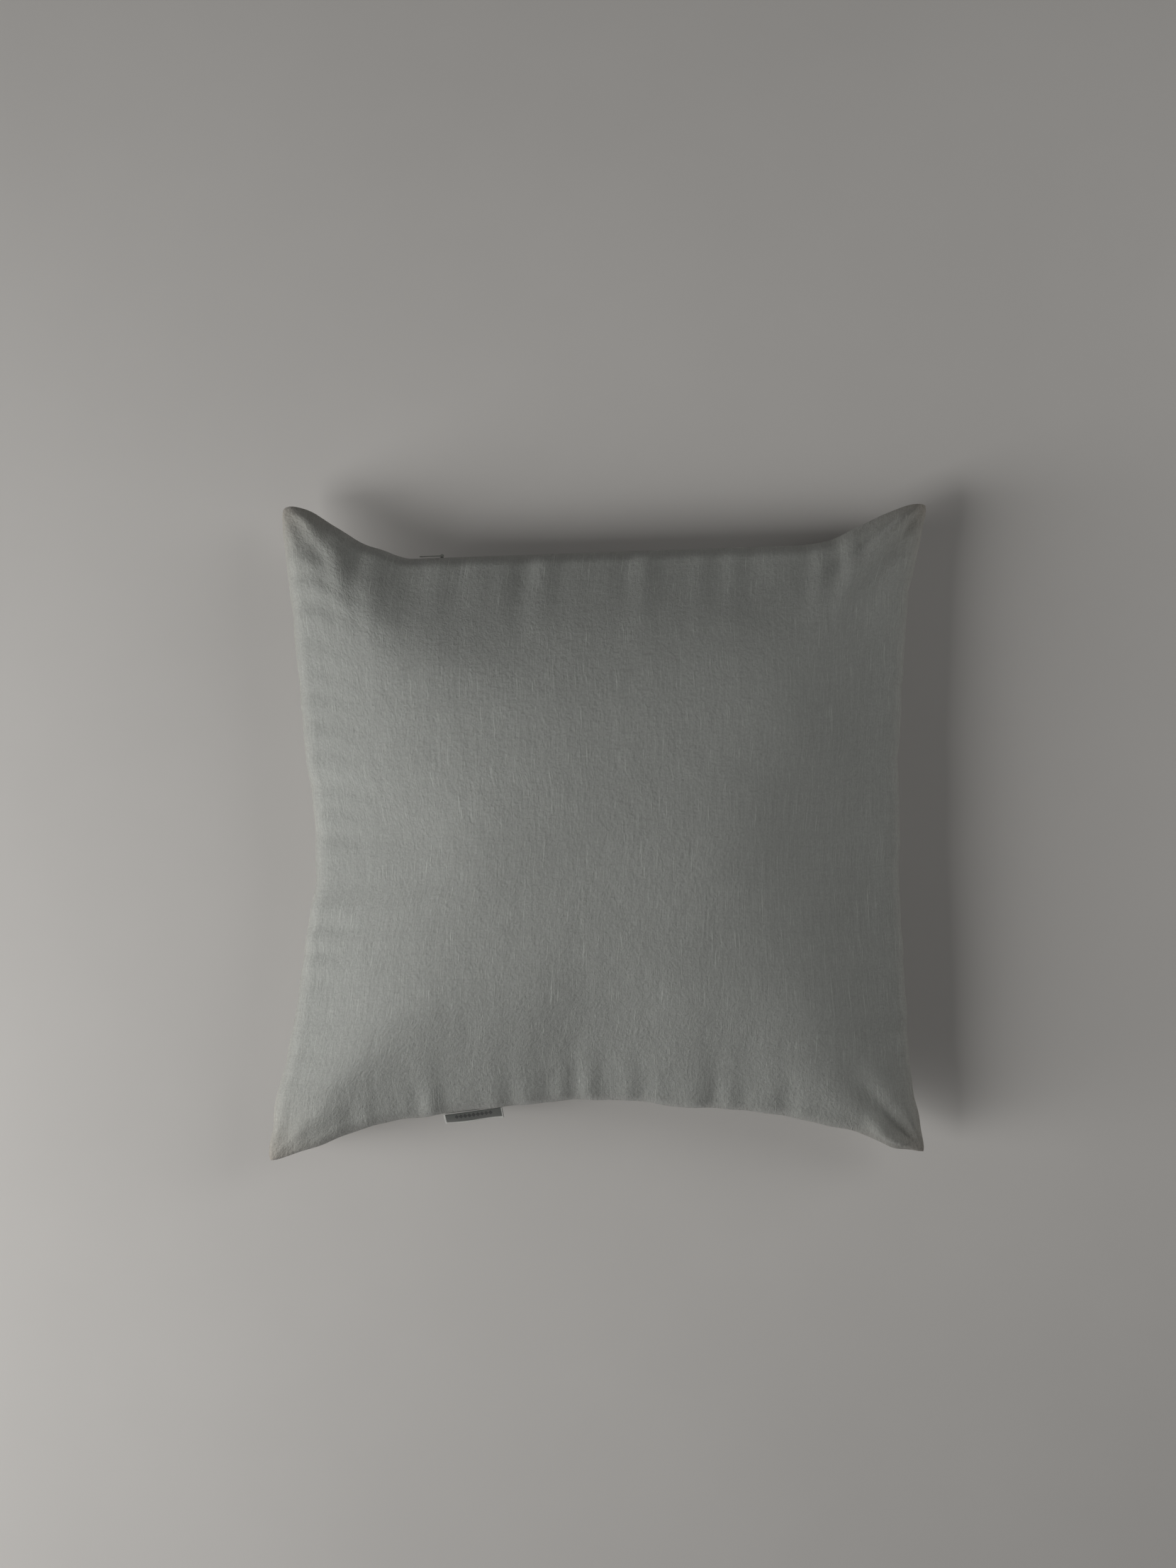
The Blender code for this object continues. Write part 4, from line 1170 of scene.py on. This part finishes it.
@dataclass
class InnerPad:
    """A cotton casing of two panels, sewn at its edge, round a polyester filling."""

    form: StuffedForm
    finish: Finishes
    reach: float = 0.92
    rise: float = 0.972
    cells: int = 110
    cloth: float = 0.35 * MM
    ply_gap: float = 0.55 * MM
    thread_reach: float = 0.912
    thread_radius: float = 0.2 * MM
    stitch: float = 3.0 * MM
    filling_reach: float = 0.885
    filling_rise: float = 0.93
    filling_cells: int = 84

    def casing(self, name: str, side: int) -> Piece:
        """One casing panel, wrinkled a little along its seam."""
        points = self.form.sheet(side, self.reach, self.rise, self.cells)
        u, v = cloth_grid(self.cells)
        near = 1 - np.maximum(np.abs(u), np.abs(v))
        along = np.where(np.abs(u) > np.abs(v), v, u)
        wrinkle = (0.8 * MM * np.sin(70 * along + 6 * np.sin(4 * along))
                   * (near / 0.06) * np.exp(1 - near / 0.06))
        points[..., 2] += side * (self.ply_gap * np.exp(-near / 0.05) + wrinkle
                                  - 0.5 * MM * smooth(near / 0.2))
        points[..., 2] = np.maximum(points[..., 2], 1.7 * MM)
        ids = np.arange(u.size).reshape(u.shape)
        uv = np.stack([u, v], -1) * self.form.outline.half_cloth * self.reach
        piece = new_piece(name, points, grid_quads(ids, side < 0).tolist(), self.finish.cotton, uv)
        return thicken(piece, self.cloth)

    def stitches(self) -> Piece:
        """Capsules between the two casing plies, once round."""
        u, v = (border(part) for part in cloth_grid(self.cells))
        line = self.form.outline.seam(u * self.thread_reach, v * self.thread_reach)
        line = np.concatenate([line, line[:1]])
        run = np.concatenate([[0], np.cumsum(np.linalg.norm(np.diff(line, axis=0), axis=1))])
        starts = np.arange(0, run[-1] - self.stitch, 1.15 * self.stitch)[:, None]
        lengths = starts + np.array([0, 0.12, 0.5, 0.88, 1.0]) * self.stitch
        paths = np.stack([np.interp(lengths, run, line[:, k]) for k in range(3)], -1)
        rings = tubes(paths, self.thread_radius * np.array([0.3, 0.9, 1, 0.9, 0.3]), 6)
        return lofted("casing_stitches", rings, self.finish.thread)

    def filling(self) -> Piece:
        """A closed matted lump: both faces share one border."""
        cells = self.filling_cells
        u, v = cloth_grid(cells)
        tufts = 0.6 * MM * np.sin(19 * u + 5 * np.sin(7 * v)) * np.sin(17 * v + 5 * np.sin(6 * u))
        inner = smooth((1 - np.maximum(np.abs(u), np.abs(v))) / 0.12)
        top = self.form.sheet(1, self.filling_reach, self.filling_rise, cells)
        bottom = self.form.sheet(-1, self.filling_reach, self.filling_rise, cells)
        top[..., 2] += tufts * inner
        bottom[..., 2] += tufts * inner * 0.5
        ids = np.arange(u.size).reshape(u.shape)
        under = ids.copy()
        under[1:-1, 1:-1] = u.size + np.arange((cells - 1) ** 2).reshape(cells - 1, cells - 1)
        points = np.concatenate([top.reshape(-1, 3), bottom[1:-1, 1:-1].reshape(-1, 3)])
        faces = np.concatenate([grid_quads(ids), grid_quads(under, True)]).tolist()
        return new_piece("filling", points, faces, self.finish.fibre)

    def build(self) -> None:
        """Casing, its stitching and the filling."""
        top = carry(self.casing("casing_top", 1), "cushion", "casing_cotton", "inner_casing_top")
        bottom = carry(self.casing("casing_bottom", -1), "cushion", "casing_cotton", "inner_casing_bottom")
        carry(self.stitches(), "cushion", "sewing_thread", "inner_seam_thread")
        filling = carry(self.filling(), "cushion", "fibre", "fibre_filling")


# Pieces in the frame of an edge

@dataclass(frozen=True)
class EdgeFrame:
    """The frame of a stretch of edge: x along it, y out of the cushion, z up."""

    origin: Array
    along: Array
    outward: Array

    def place(self, local: Array) -> Array:
        """Carry local points to the world."""
        return (self.origin + local[..., :1] * self.along + local[..., 1:2] * self.outward
                + local[..., 2:3] * UP)


def joint(name: str) -> dict:
    """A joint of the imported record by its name."""
    return next(entry for entry in frame["joints"] if entry["name"] == name)


@dataclass
class Zip:
    """A hidden coil zip in the far edge: tapes, coils, stops, stitching, slider and pull."""

    finish: Finishes
    slider_rest: float = -0.160
    bail_out: float = 2.4 * MM
    tape_length: float = 0.346
    tape_level: float = 2.4 * MM
    tape_cloth: float = 0.4 * MM
    tape_front: float = 1.25 * MM
    tape_width: float = 11.8 * MM
    half_slot: float = 0.8 * MM
    row_length: float = 0.332
    tooth_pitch: float = 1.4 * MM
    filament: float = 0.21 * MM
    row_front: float = 1.95 * MM
    row_depth: float = 1.45 * MM
    row_outer: float = 2.1 * MM
    head_overlap: float = 0.22 * MM
    parted: float = 0.85 * MM
    diamond_half: float = 2.5 * MM
    thread_level: float = 3.2 * MM
    thread_inset: float = 7 * MM
    tack_gap: float = 2.5 * MM
    tack_length: float = 2 * MM
    tack_depth: float = 8 * MM

    def __post_init__(self) -> None:
        """Read the zip's frame from the joints: the pull hinges on the bail of the slider at rest."""
        along = np.array([*joint("zip_slide")["axis"]])
        outward = np.array([-along[1], along[0], 0.0])
        hinge = np.array([*joint("pull_swing")["pos_m"]])
        origin = hinge - outward * self.bail_out - along * self.slider_rest
        self.frame = EdgeFrame(origin, along, outward)

    def tape(self, name: str, side: int) -> Piece:
        """A woven tape: a rounded L in section, its short leg down in front of the coil."""
        level = self.tape_level + self.tape_cloth / 2
        front = self.tape_front + self.tape_cloth / 2
        corner = 0.5 * MM
        turn = np.linspace(0, math.pi / 2, 6)
        bend = np.column_stack([-front - corner + corner * np.cos(turn),
                                level - corner + corner * np.sin(turn)])
        leg = np.column_stack([np.full(4, -front), np.linspace(self.half_slot, level - corner, 5)[:-1]])
        back = np.linspace(-front - corner, -front - self.tape_width, 14)[1:]
        flat = np.column_stack([back, np.full(13, level)])
        path = np.concatenate([leg, bend, flat])
        x = np.linspace(-self.tape_length / 2, self.tape_length / 2, 180)
        grid = np.empty((len(x), len(path), 3))
        grid[..., 0] = x[:, None]
        grid[..., 1], grid[..., 2] = path[:, 0], path[:, 1]
        grid[..., 2] += 0.05 * MM * np.sin(x * 900)[:, None] * smooth((-path[:, 0] - 4 * MM) / (4 * MM))
        grid[..., 2] *= side
        run = np.concatenate([[0], np.cumsum(np.linalg.norm(np.diff(path, axis=0), axis=1))])
        uv = np.stack(np.broadcast_arrays(x[:, None], run[None]), -1)
        ids = np.arange(grid[..., 0].size).reshape(grid.shape[:2])
        points = self.frame.place(grid)
        piece = new_piece(name, points, grid_quads(ids, side > 0).tolist(), self.finish.tape, uv)
        wall = thicken(piece, self.tape_cloth)
        wall.modifiers["thickness"].offset = 0
        return piece

    def coil(self, name: str, side: int) -> Piece:
        """One row of coil teeth: a flat helix whose heads lock past the middle, parted at the slider.

        Tooth angle a: y = middle - depth/2 cos a, z between the head and the outer bend by
        (1 - cos a') / 2, x advancing one pitch for each turn.
        """
        turns = int(self.row_length / self.tooth_pitch)
        steps = 10
        turn = np.arange(turns * steps + 1) / steps
        angle = 2 * math.pi * turn
        x = -self.row_length / 2 + turn * self.tooth_pitch + (0.5 * self.tooth_pitch if side < 0 else 0)
        closed = smooth((x - self.slider_rest - self.diamond_half * 0.8) / self.diamond_half)
        head = self.parted + (-self.head_overlap - self.parted) * closed
        outer = self.row_outer - self.filament
        share = (1 - np.cos(angle)) / 2
        share = share + 0.12 * np.sin(2 * math.pi * share)
        half_depth = self.row_depth / 2 - self.filament
        y = -self.row_front - self.row_depth / 2 + half_depth * np.sin(angle)
        path = np.stack([x, y, side * (head + (outer - head) * share)], -1)
        rings = tubes(self.frame.place(path)[None], self.filament, 5, self.frame.along + 0.3 * UP)
        return lofted(name, rings, self.finish.filament)

    def slab(self, low: Sequence[float], high: Sequence[float], axis: int, power: float = 5.0,
             taper: float = 0.82, sides: int = 20) -> Array:
        """Rings of a rounded bar between two corners, its ends drawn in, along one axis."""
        low, high = np.asarray(low, float), np.asarray(high, float)
        first, second = [k for k in range(3) if k != axis]
        middle, half = (low + high) / 2, (high - low) / 2
        section = superellipse(half[first], half[second], power, sides)
        edge = 0.3 * min(half[first], half[second], half[axis])
        stations = np.array([low[axis], low[axis] + 0.35 * edge, low[axis] + edge,
                             high[axis] - edge, high[axis] - 0.35 * edge, high[axis]])
        size = np.array([taper, 0.5 + taper / 2, 1, 1, 0.5 + taper / 2, taper])
        rings = np.zeros((len(stations), sides, 3))
        rings[..., axis] = stations[:, None]
        rings[..., first] = middle[first] + size[:, None] * section[:, 0]
        rings[..., second] = middle[second] + size[:, None] * section[:, 1]
        return rings

    def solid(self, name: str, parts: Sequence[Array], finish: bpy.types.Material) -> Piece:
        """Join several lofted parts, given in the zip's frame, into one piece."""
        pieces = [lofted(f"{name}_{number}", self.frame.place(part)[None], finish)
                  for number, part in enumerate(parts)]
        joined = join(pieces)
        joined.name = name
        return joined

    def stitching(self, name: str, side: int) -> Piece:
        """The stitches that hold a tape to the allowance."""
        pitch, stitch = 3.0 * MM, 2.5 * MM
        starts = np.arange(-self.tape_length / 2 + MM, self.tape_length / 2 - pitch, pitch)
        along = np.array([0, 0.12, 0.5, 0.88, 1.0]) * stitch
        paths = np.empty((len(starts), 5, 3))
        paths[..., 0] = starts[:, None] + along
        paths[..., 1] = -self.thread_inset
        paths[..., 2] = side * self.thread_level
        rings = tubes(self.frame.place(paths), 0.13 * MM * np.array([0.3, 0.9, 1, 0.9, 0.3]), 6)
        return lofted(name, rings, self.finish.thread)

    def tack(self, name: str, start: float) -> Piece:
        """A bar tack: close zigzag stitches across the seam past one end of the zip."""
        turn = np.linspace(0, 1, 141)
        path = np.stack([start + self.tack_length * (0.5 + 0.5 * np.cos(2 * math.pi * 14 * turn)),
                         -1.0 * MM - self.tack_depth * turn, 0.5 * MM * np.sin(2 * math.pi * 14 * turn)], -1)
        rings = tubes(self.frame.place(path)[None], 0.16 * MM, 6, np.array([0.3, 0.2, 1.0]))
        return lofted(name, rings, self.finish.thread)

    def stop(self, name: str, low: Sequence[float], high: Sequence[float]) -> Piece:
        """A small moulded stop."""
        return self.solid(name, [self.slab(low, high, 0)], self.finish.filament)

    def slider(self) -> Piece:
        """The slider: a back plate, the diamond that parts the coils, a slim nose and the bail."""
        s, half = self.slider_rest, self.diamond_half
        plate = self.slab((s - 4.5 * MM, -5.0 * MM, -1.95 * MM),
                          (s + 4.5 * MM, -3.75 * MM, 1.95 * MM), 1, 4.0)
        nose = self.slab((s - 3.6 * MM, -0.95 * MM, -0.8 * MM), (s + 3.6 * MM, 0.1 * MM, 0.8 * MM), 1, 3.0)
        levels = np.array([-4.2, -3.0, -1.8, -0.6, 0.4, 0.9]) * MM
        shape = superellipse(1.0, 1.0, 1.35, 16)
        rings = np.zeros((len(levels), 16, 3))
        length = half * np.array([1, 1, 1, 1, 0.7, 0.62])
        rings[..., 0] = s + length[:, None] * shape[:, 0]
        rings[..., 1] = levels[:, None]
        rings[..., 2] = 0.5 * MM * shape[:, 1]
        body = self.solid("zip_slider_body", [plate, nose, rings], self.finish.metal)
        around, across = np.arange(28) * 2 * math.pi / 28, np.arange(10) * 2 * math.pi / 10
        big, small = 1.40 * MM, 0.48 * MM
        spread = big + small * np.cos(across)
        ring = np.zeros((28, 10, 3))
        ring[..., 0] = s + np.cos(around)[:, None] * spread
        ring[..., 1] = self.bail_out + np.sin(around)[:, None] * spread
        ring[..., 2] = small * np.sin(across)
        bail = lofted("zip_slider_bail", self.frame.place(ring)[None], self.finish.metal, loop=True)
        return join([body, bail])

    def pull(self) -> Piece:
        """The pull: a tapering blade with a raised rim, two arms round the bail and a pin."""
        s, out = self.slider_rest, self.bail_out
        arms = [self.slab((s - 3.6 * MM, out - 0.5 * MM, z - 0.65 * MM),
                          (s + 0.6 * MM, out + 0.5 * MM, z + 0.65 * MM),
                          0, 3.0) for z in (-1.57 * MM, 1.57 * MM)]
        run = np.array([2.4, 2.9, 4, 8, 13, 18, 20, 21.2, 21.8, 22]) * MM
        width = np.array([0.80, 0.9, 0.92, 0.95, 0.98, 1.0, 0.95, 0.78, 0.52, 0.25]) * 2.5 * MM
        thick = np.array([0.35, 0.5, 0.5, 0.42, 0.38, 0.42, 0.5, 0.5, 0.4, 0.22]) * MM
        section = superellipse(1.0, 1.0, 4.0, 20)
        blade = np.zeros((len(run), 20, 3))
        blade[..., 0] = s - run[:, None]
        blade[..., 1] = out + thick[:, None] * section[:, 0]
        blade[..., 2] = width[:, None] * section[:, 1]
        path = np.zeros((1, 7, 3))
        path[..., 0], path[..., 1] = s, out
        path[..., 2] = np.linspace(-2.1, 2.1, 7) * MM
        pin = tubes(path, 0.5 * MM, 12, np.array([1.0, 0, 0]))[0]
        return self.solid("zip_pull", [blade, *arms, pin], self.finish.metal)

    def build(self) -> None:
        """Everything of the zip, on the cushion, the slider and the pull."""
        row_end = self.row_length / 2
        front, depth, outer = self.row_front, self.row_depth, self.row_outer
        for side, half in ((1, "upper"), (-1, "lower")):
            carry(self.tape(f"tape_{half}", side), "cushion", "zip_tape", f"zip_tape_{half}")
            carry(self.coil(f"coil_{half}", side), "cushion", "zip_filament", f"zip_coil_{half}")
            carry(self.stitching(f"tape_stitches_{half}", side), "cushion", "sewing_thread",
                  f"zip_stitching_{half}")
            edges = sorted((side * self.parted, side * outer))
            stop = self.stop(f"top_stop_{half}", (-row_end - 2.4 * MM, -front - depth, edges[0]),
                             (-row_end - 0.4 * MM, -front, edges[1]))
            carry(stop, "cushion", "zip_filament", f"zip_top_stop_{half}")
        stop = self.stop("bottom_stop", (row_end + 0.6 * MM, -front - depth, -outer),
                         (row_end + 2.6 * MM, -front - 0.3 * MM, outer))
        carry(stop, "cushion", "zip_filament", "zip_bottom_stop")
        reach = self.tape_length / 2 + self.tack_gap
        carry(self.tack("tack_left", -reach - self.tack_length), "cushion", "sewing_thread", "bar_tack_left")
        carry(self.tack("tack_right", reach), "cushion", "sewing_thread", "bar_tack_right")
        carry(self.slider(), "slider", "zip_metal", "zip_slider")
        carry(self.pull(), "pull", "zip_metal", "zip_pull_tab")


@dataclass
class Labels:
    """The satin side label that hangs out of the near seam, and the care label in the left one."""

    outline: Outline
    finish: Finishes
    span: tuple[float, float] = (-0.47, -0.28)
    width: float = 0.058
    reach: float = 16 * MM
    root: float = 0.3 * MM
    droop: float = math.radians(-48)
    cloth: float = 0.24 * MM
    half_fold: float = 0.38 * MM
    tail: float = 10 * MM
    care_span: tuple[float, float] = (0.0, 0.28)
    care_width: float = 0.032
    care_start: float = 2.3 * MM
    care_end: float = 16.5 * MM

    def edge_frame(self, side: Side, span: tuple[float, float]) -> EdgeFrame:
        """The frame of a stretch of edge, from the chord between its ends."""
        first, last = self.outline.edge(side, np.array(span))
        run = unit(last - first)
        outward = np.array([run[1], -run[0]])
        outward = outward * np.sign(outward @ (first + last))
        along = np.array([outward[1], -outward[0], 0.0])
        return EdgeFrame(np.array([*(first + last) / 2, self.outline.seam_height]), along,
                         np.array([*outward, 0.0]))

    def hinged_frame(self) -> tuple[EdgeFrame, Array]:
        """The label's frame from its joint, and the hinge's place."""
        axis = np.array([*joint("label_flap")["axis"]])
        hinge = np.array([*joint("label_flap")["pos_m"]])
        outward = np.array([axis[1], -axis[0], 0.0])
        outward = outward * np.sign(outward @ hinge)
        along = np.array([outward[1], -outward[0], 0.0])
        return EdgeFrame(hinge, along, outward), hinge

    def side_label(self) -> Piece:
        """The free part: a ribbon out to its fold and back, drooping, with a soft wave."""
        place, _ = self.hinged_frame()
        turn = np.linspace(math.pi / 2, -math.pi / 2, 9)
        end = self.reach - self.half_fold
        out = np.linspace(-self.root, end, 15)[:-1]
        upper = np.column_stack([out, np.full(14, self.half_fold)])
        fold = np.column_stack([end + self.half_fold * np.cos(turn), self.half_fold * np.sin(turn)])
        path = np.concatenate([upper, fold, (upper * (1, -1))[::-1]])
        run = np.concatenate([[0], np.cumsum(np.linalg.norm(np.diff(path, axis=0), axis=1))])
        x = np.linspace(-self.width / 2, self.width / 2, 59)
        share = np.clip(path[:, 0] / self.reach, 0, 1)
        wave = 0.55 * np.sin(2 * math.pi * x / 0.047 + 0.7) - 9.0 * (x / self.width) ** 3
        wave = wave[:, None] * share**1.5 * MM
        puff = 0.35 * MM * np.sin(math.pi * share) * np.sign(path[:, 1])
        y, z = np.broadcast_arrays(path[:, 0], path[:, 1] + puff + wave * 0.8)
        turned_y = y * math.cos(self.droop) - z * math.sin(self.droop)
        turned_z = y * math.sin(self.droop) + z * math.cos(self.droop)
        grid = np.stack([np.broadcast_to(x[:, None], z.shape), turned_y, turned_z], -1)
        uv = np.stack(np.broadcast_arrays(x[:, None], run[None]), -1)
        ids = np.arange(grid[..., 0].size).reshape(grid.shape[:2])
        piece = new_piece("side_label_flap", place.place(grid), grid_quads(ids).tolist(),
                          self.finish.satin, uv)
        return thicken(piece, self.cloth)

    def strip(self, name: str, place: EdgeFrame, half: float, start: float, end: float,
              finish: bpy.types.Material, curl: float) -> Piece:
        """A flat ribbon in the seam, from y = -end to y = -start, curling at its inner end."""
        x, y = np.meshgrid(np.linspace(-half, half, 33), np.linspace(-end, -start, 17), indexing="ij")
        past = np.clip((-y - 12.5 * MM) / (4 * MM), 0, 1)
        z = -curl * past**2 * (1 + 0.4 * np.sin(x * 160))
        ids = np.arange(x.size).reshape(x.shape)
        uv = np.stack([x, -y + 0.05], -1)
        piece = new_piece(name, place.place(np.stack([x, y, z], -1)), grid_quads(ids).tolist(), finish, uv)
        return thicken(piece, self.cloth)

    def build(self) -> None:
        """The label, its sewn end and the care label."""
        label = carry(self.side_label(), "label", "label_satin", "side_label")
        near = self.edge_frame(Side.NEAR, self.span)
        sewn = self.strip("side_label_root", near, self.width / 2, -0.4 * MM, self.tail, self.finish.satin, 0)
        carry(sewn, "cushion", "label_satin", "side_label_sewn_end")
        left = self.edge_frame(Side.LEFT, self.care_span)
        care = self.strip("care_label_ribbon", left, self.care_width / 2, self.care_start, self.care_end,
                          self.finish.ribbon, 1.2 * MM)
        carry(care, "cushion", "care_ribbon", "care_label")


# The studio

@dataclass
class SoftBox:
    """One soft rectangular light: placed by compass bearing and elevation, aimed at the cushion."""

    name: str
    bearing: float
    elevation: float
    power: float
    colour: tuple[float, float, float] = (1.0, 1.0, 1.0)
    distance: float = 2.4
    size: tuple[float, float] = (1.4, 1.0)
    aim: tuple[float, float, float] = (0.0, 0.0, 0.05)

    def build(self) -> None:
        """Hang the light; bearing 0 is +x and 90 is +y."""
        turn, rise = math.radians(self.bearing), math.radians(self.elevation)
        place = self.distance * Vector((math.cos(rise) * math.cos(turn), math.cos(rise) * math.sin(turn),
                                        math.sin(rise)))
        data = bpy.data.lights.new(self.name, "AREA")
        data.shape = "RECTANGLE"
        data.size, data.size_y = self.size
        data.energy = self.power
        data.color = self.colour
        lamp = bpy.data.objects.new(self.name, data)
        lamp.location = place
        lamp.rotation_euler = (Vector(self.aim) - place).to_track_quat("-Z", "Z").to_euler()
        lamp.visible_camera = False
        bpy.context.scene.collection.objects.link(lamp)


@dataclass
class Studio:
    """A pale floor, a broad low window, the wall opposite it, and a camera straight above."""

    camera_place: tuple[float, float, float] = (-0.010, 0.0485, 2.215)
    lens: float = 50.0
    floor_half: float = 2.3
    ambient: float = 0.02
    backdrop: tuple[float, float, float] = (0.52, 0.51, 0.49)
    boxes: tuple[SoftBox, ...] = (
        SoftBox("window", bearing=195, elevation=25, power=80, size=(3.2, 1.0)),
        SoftBox("opposite_wall", bearing=15, elevation=25, power=22, size=(3.2, 1.0)),
    )

    def build(self) -> None:
        """Floor, lights, world and camera."""
        half = self.floor_half
        corners = np.array([[-half, -half, 0], [half, -half, 0], [half, half, 0], [-half, half, 0.0]])
        floor = new_piece("floor", corners, [[0, 1, 2, 3]], PaleFloor().material())
        for box in self.boxes:
            box.build()
        scene = bpy.context.scene
        scene.world = self.room()
        scene.view_settings.view_transform = "Standard"
        lens = bpy.data.cameras.new("overhead")
        lens.lens = self.lens
        lens.sensor_width = 36.0
        camera = bpy.data.objects.new("overhead", lens)
        camera.location = self.camera_place
        scene.collection.objects.link(camera)
        scene.camera = camera

    def room(self) -> bpy.types.World:
        """A dim even room that looks pale behind the cushion."""
        world = bpy.data.worlds.new("soft_room")
        world.use_nodes = True
        tree = world.node_tree
        sky = tree.nodes["Background"]
        sky.inputs["Strength"].default_value = self.ambient
        seen = tree.nodes.new("ShaderNodeBackground")
        seen.inputs["Color"].default_value = (*self.backdrop, 1.0)
        path = tree.nodes.new("ShaderNodeLightPath")
        either = tree.nodes.new("ShaderNodeMixShader")
        sky.inputs["Color"].default_value = (1.0, 1.0, 1.0, 1.0)
        tree.links.new(path.outputs["Is Camera Ray"], either.inputs[0])
        tree.links.new(sky.outputs[0], either.inputs[1])
        tree.links.new(seen.outputs[0], either.inputs[2])
        tree.links.new(either.outputs[0], tree.nodes["World Output"].inputs["Surface"])
        return world


def main() -> None:
    """Build the cushion and its studio."""
    logging.basicConfig(level=logging.INFO, format="%(name)s: %(message)s")
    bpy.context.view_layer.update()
    finish = Finishes()
    form = StuffedForm(Outline())
    cover = Cover(form, finish)
    cover.build()
    SeamStitching(cover, finish).build()
    InnerPad(form, finish).build()
    Zip(finish).build()
    Labels(form.outline, finish).build()
    Studio().build()


if __name__ == "__main__":
    main()
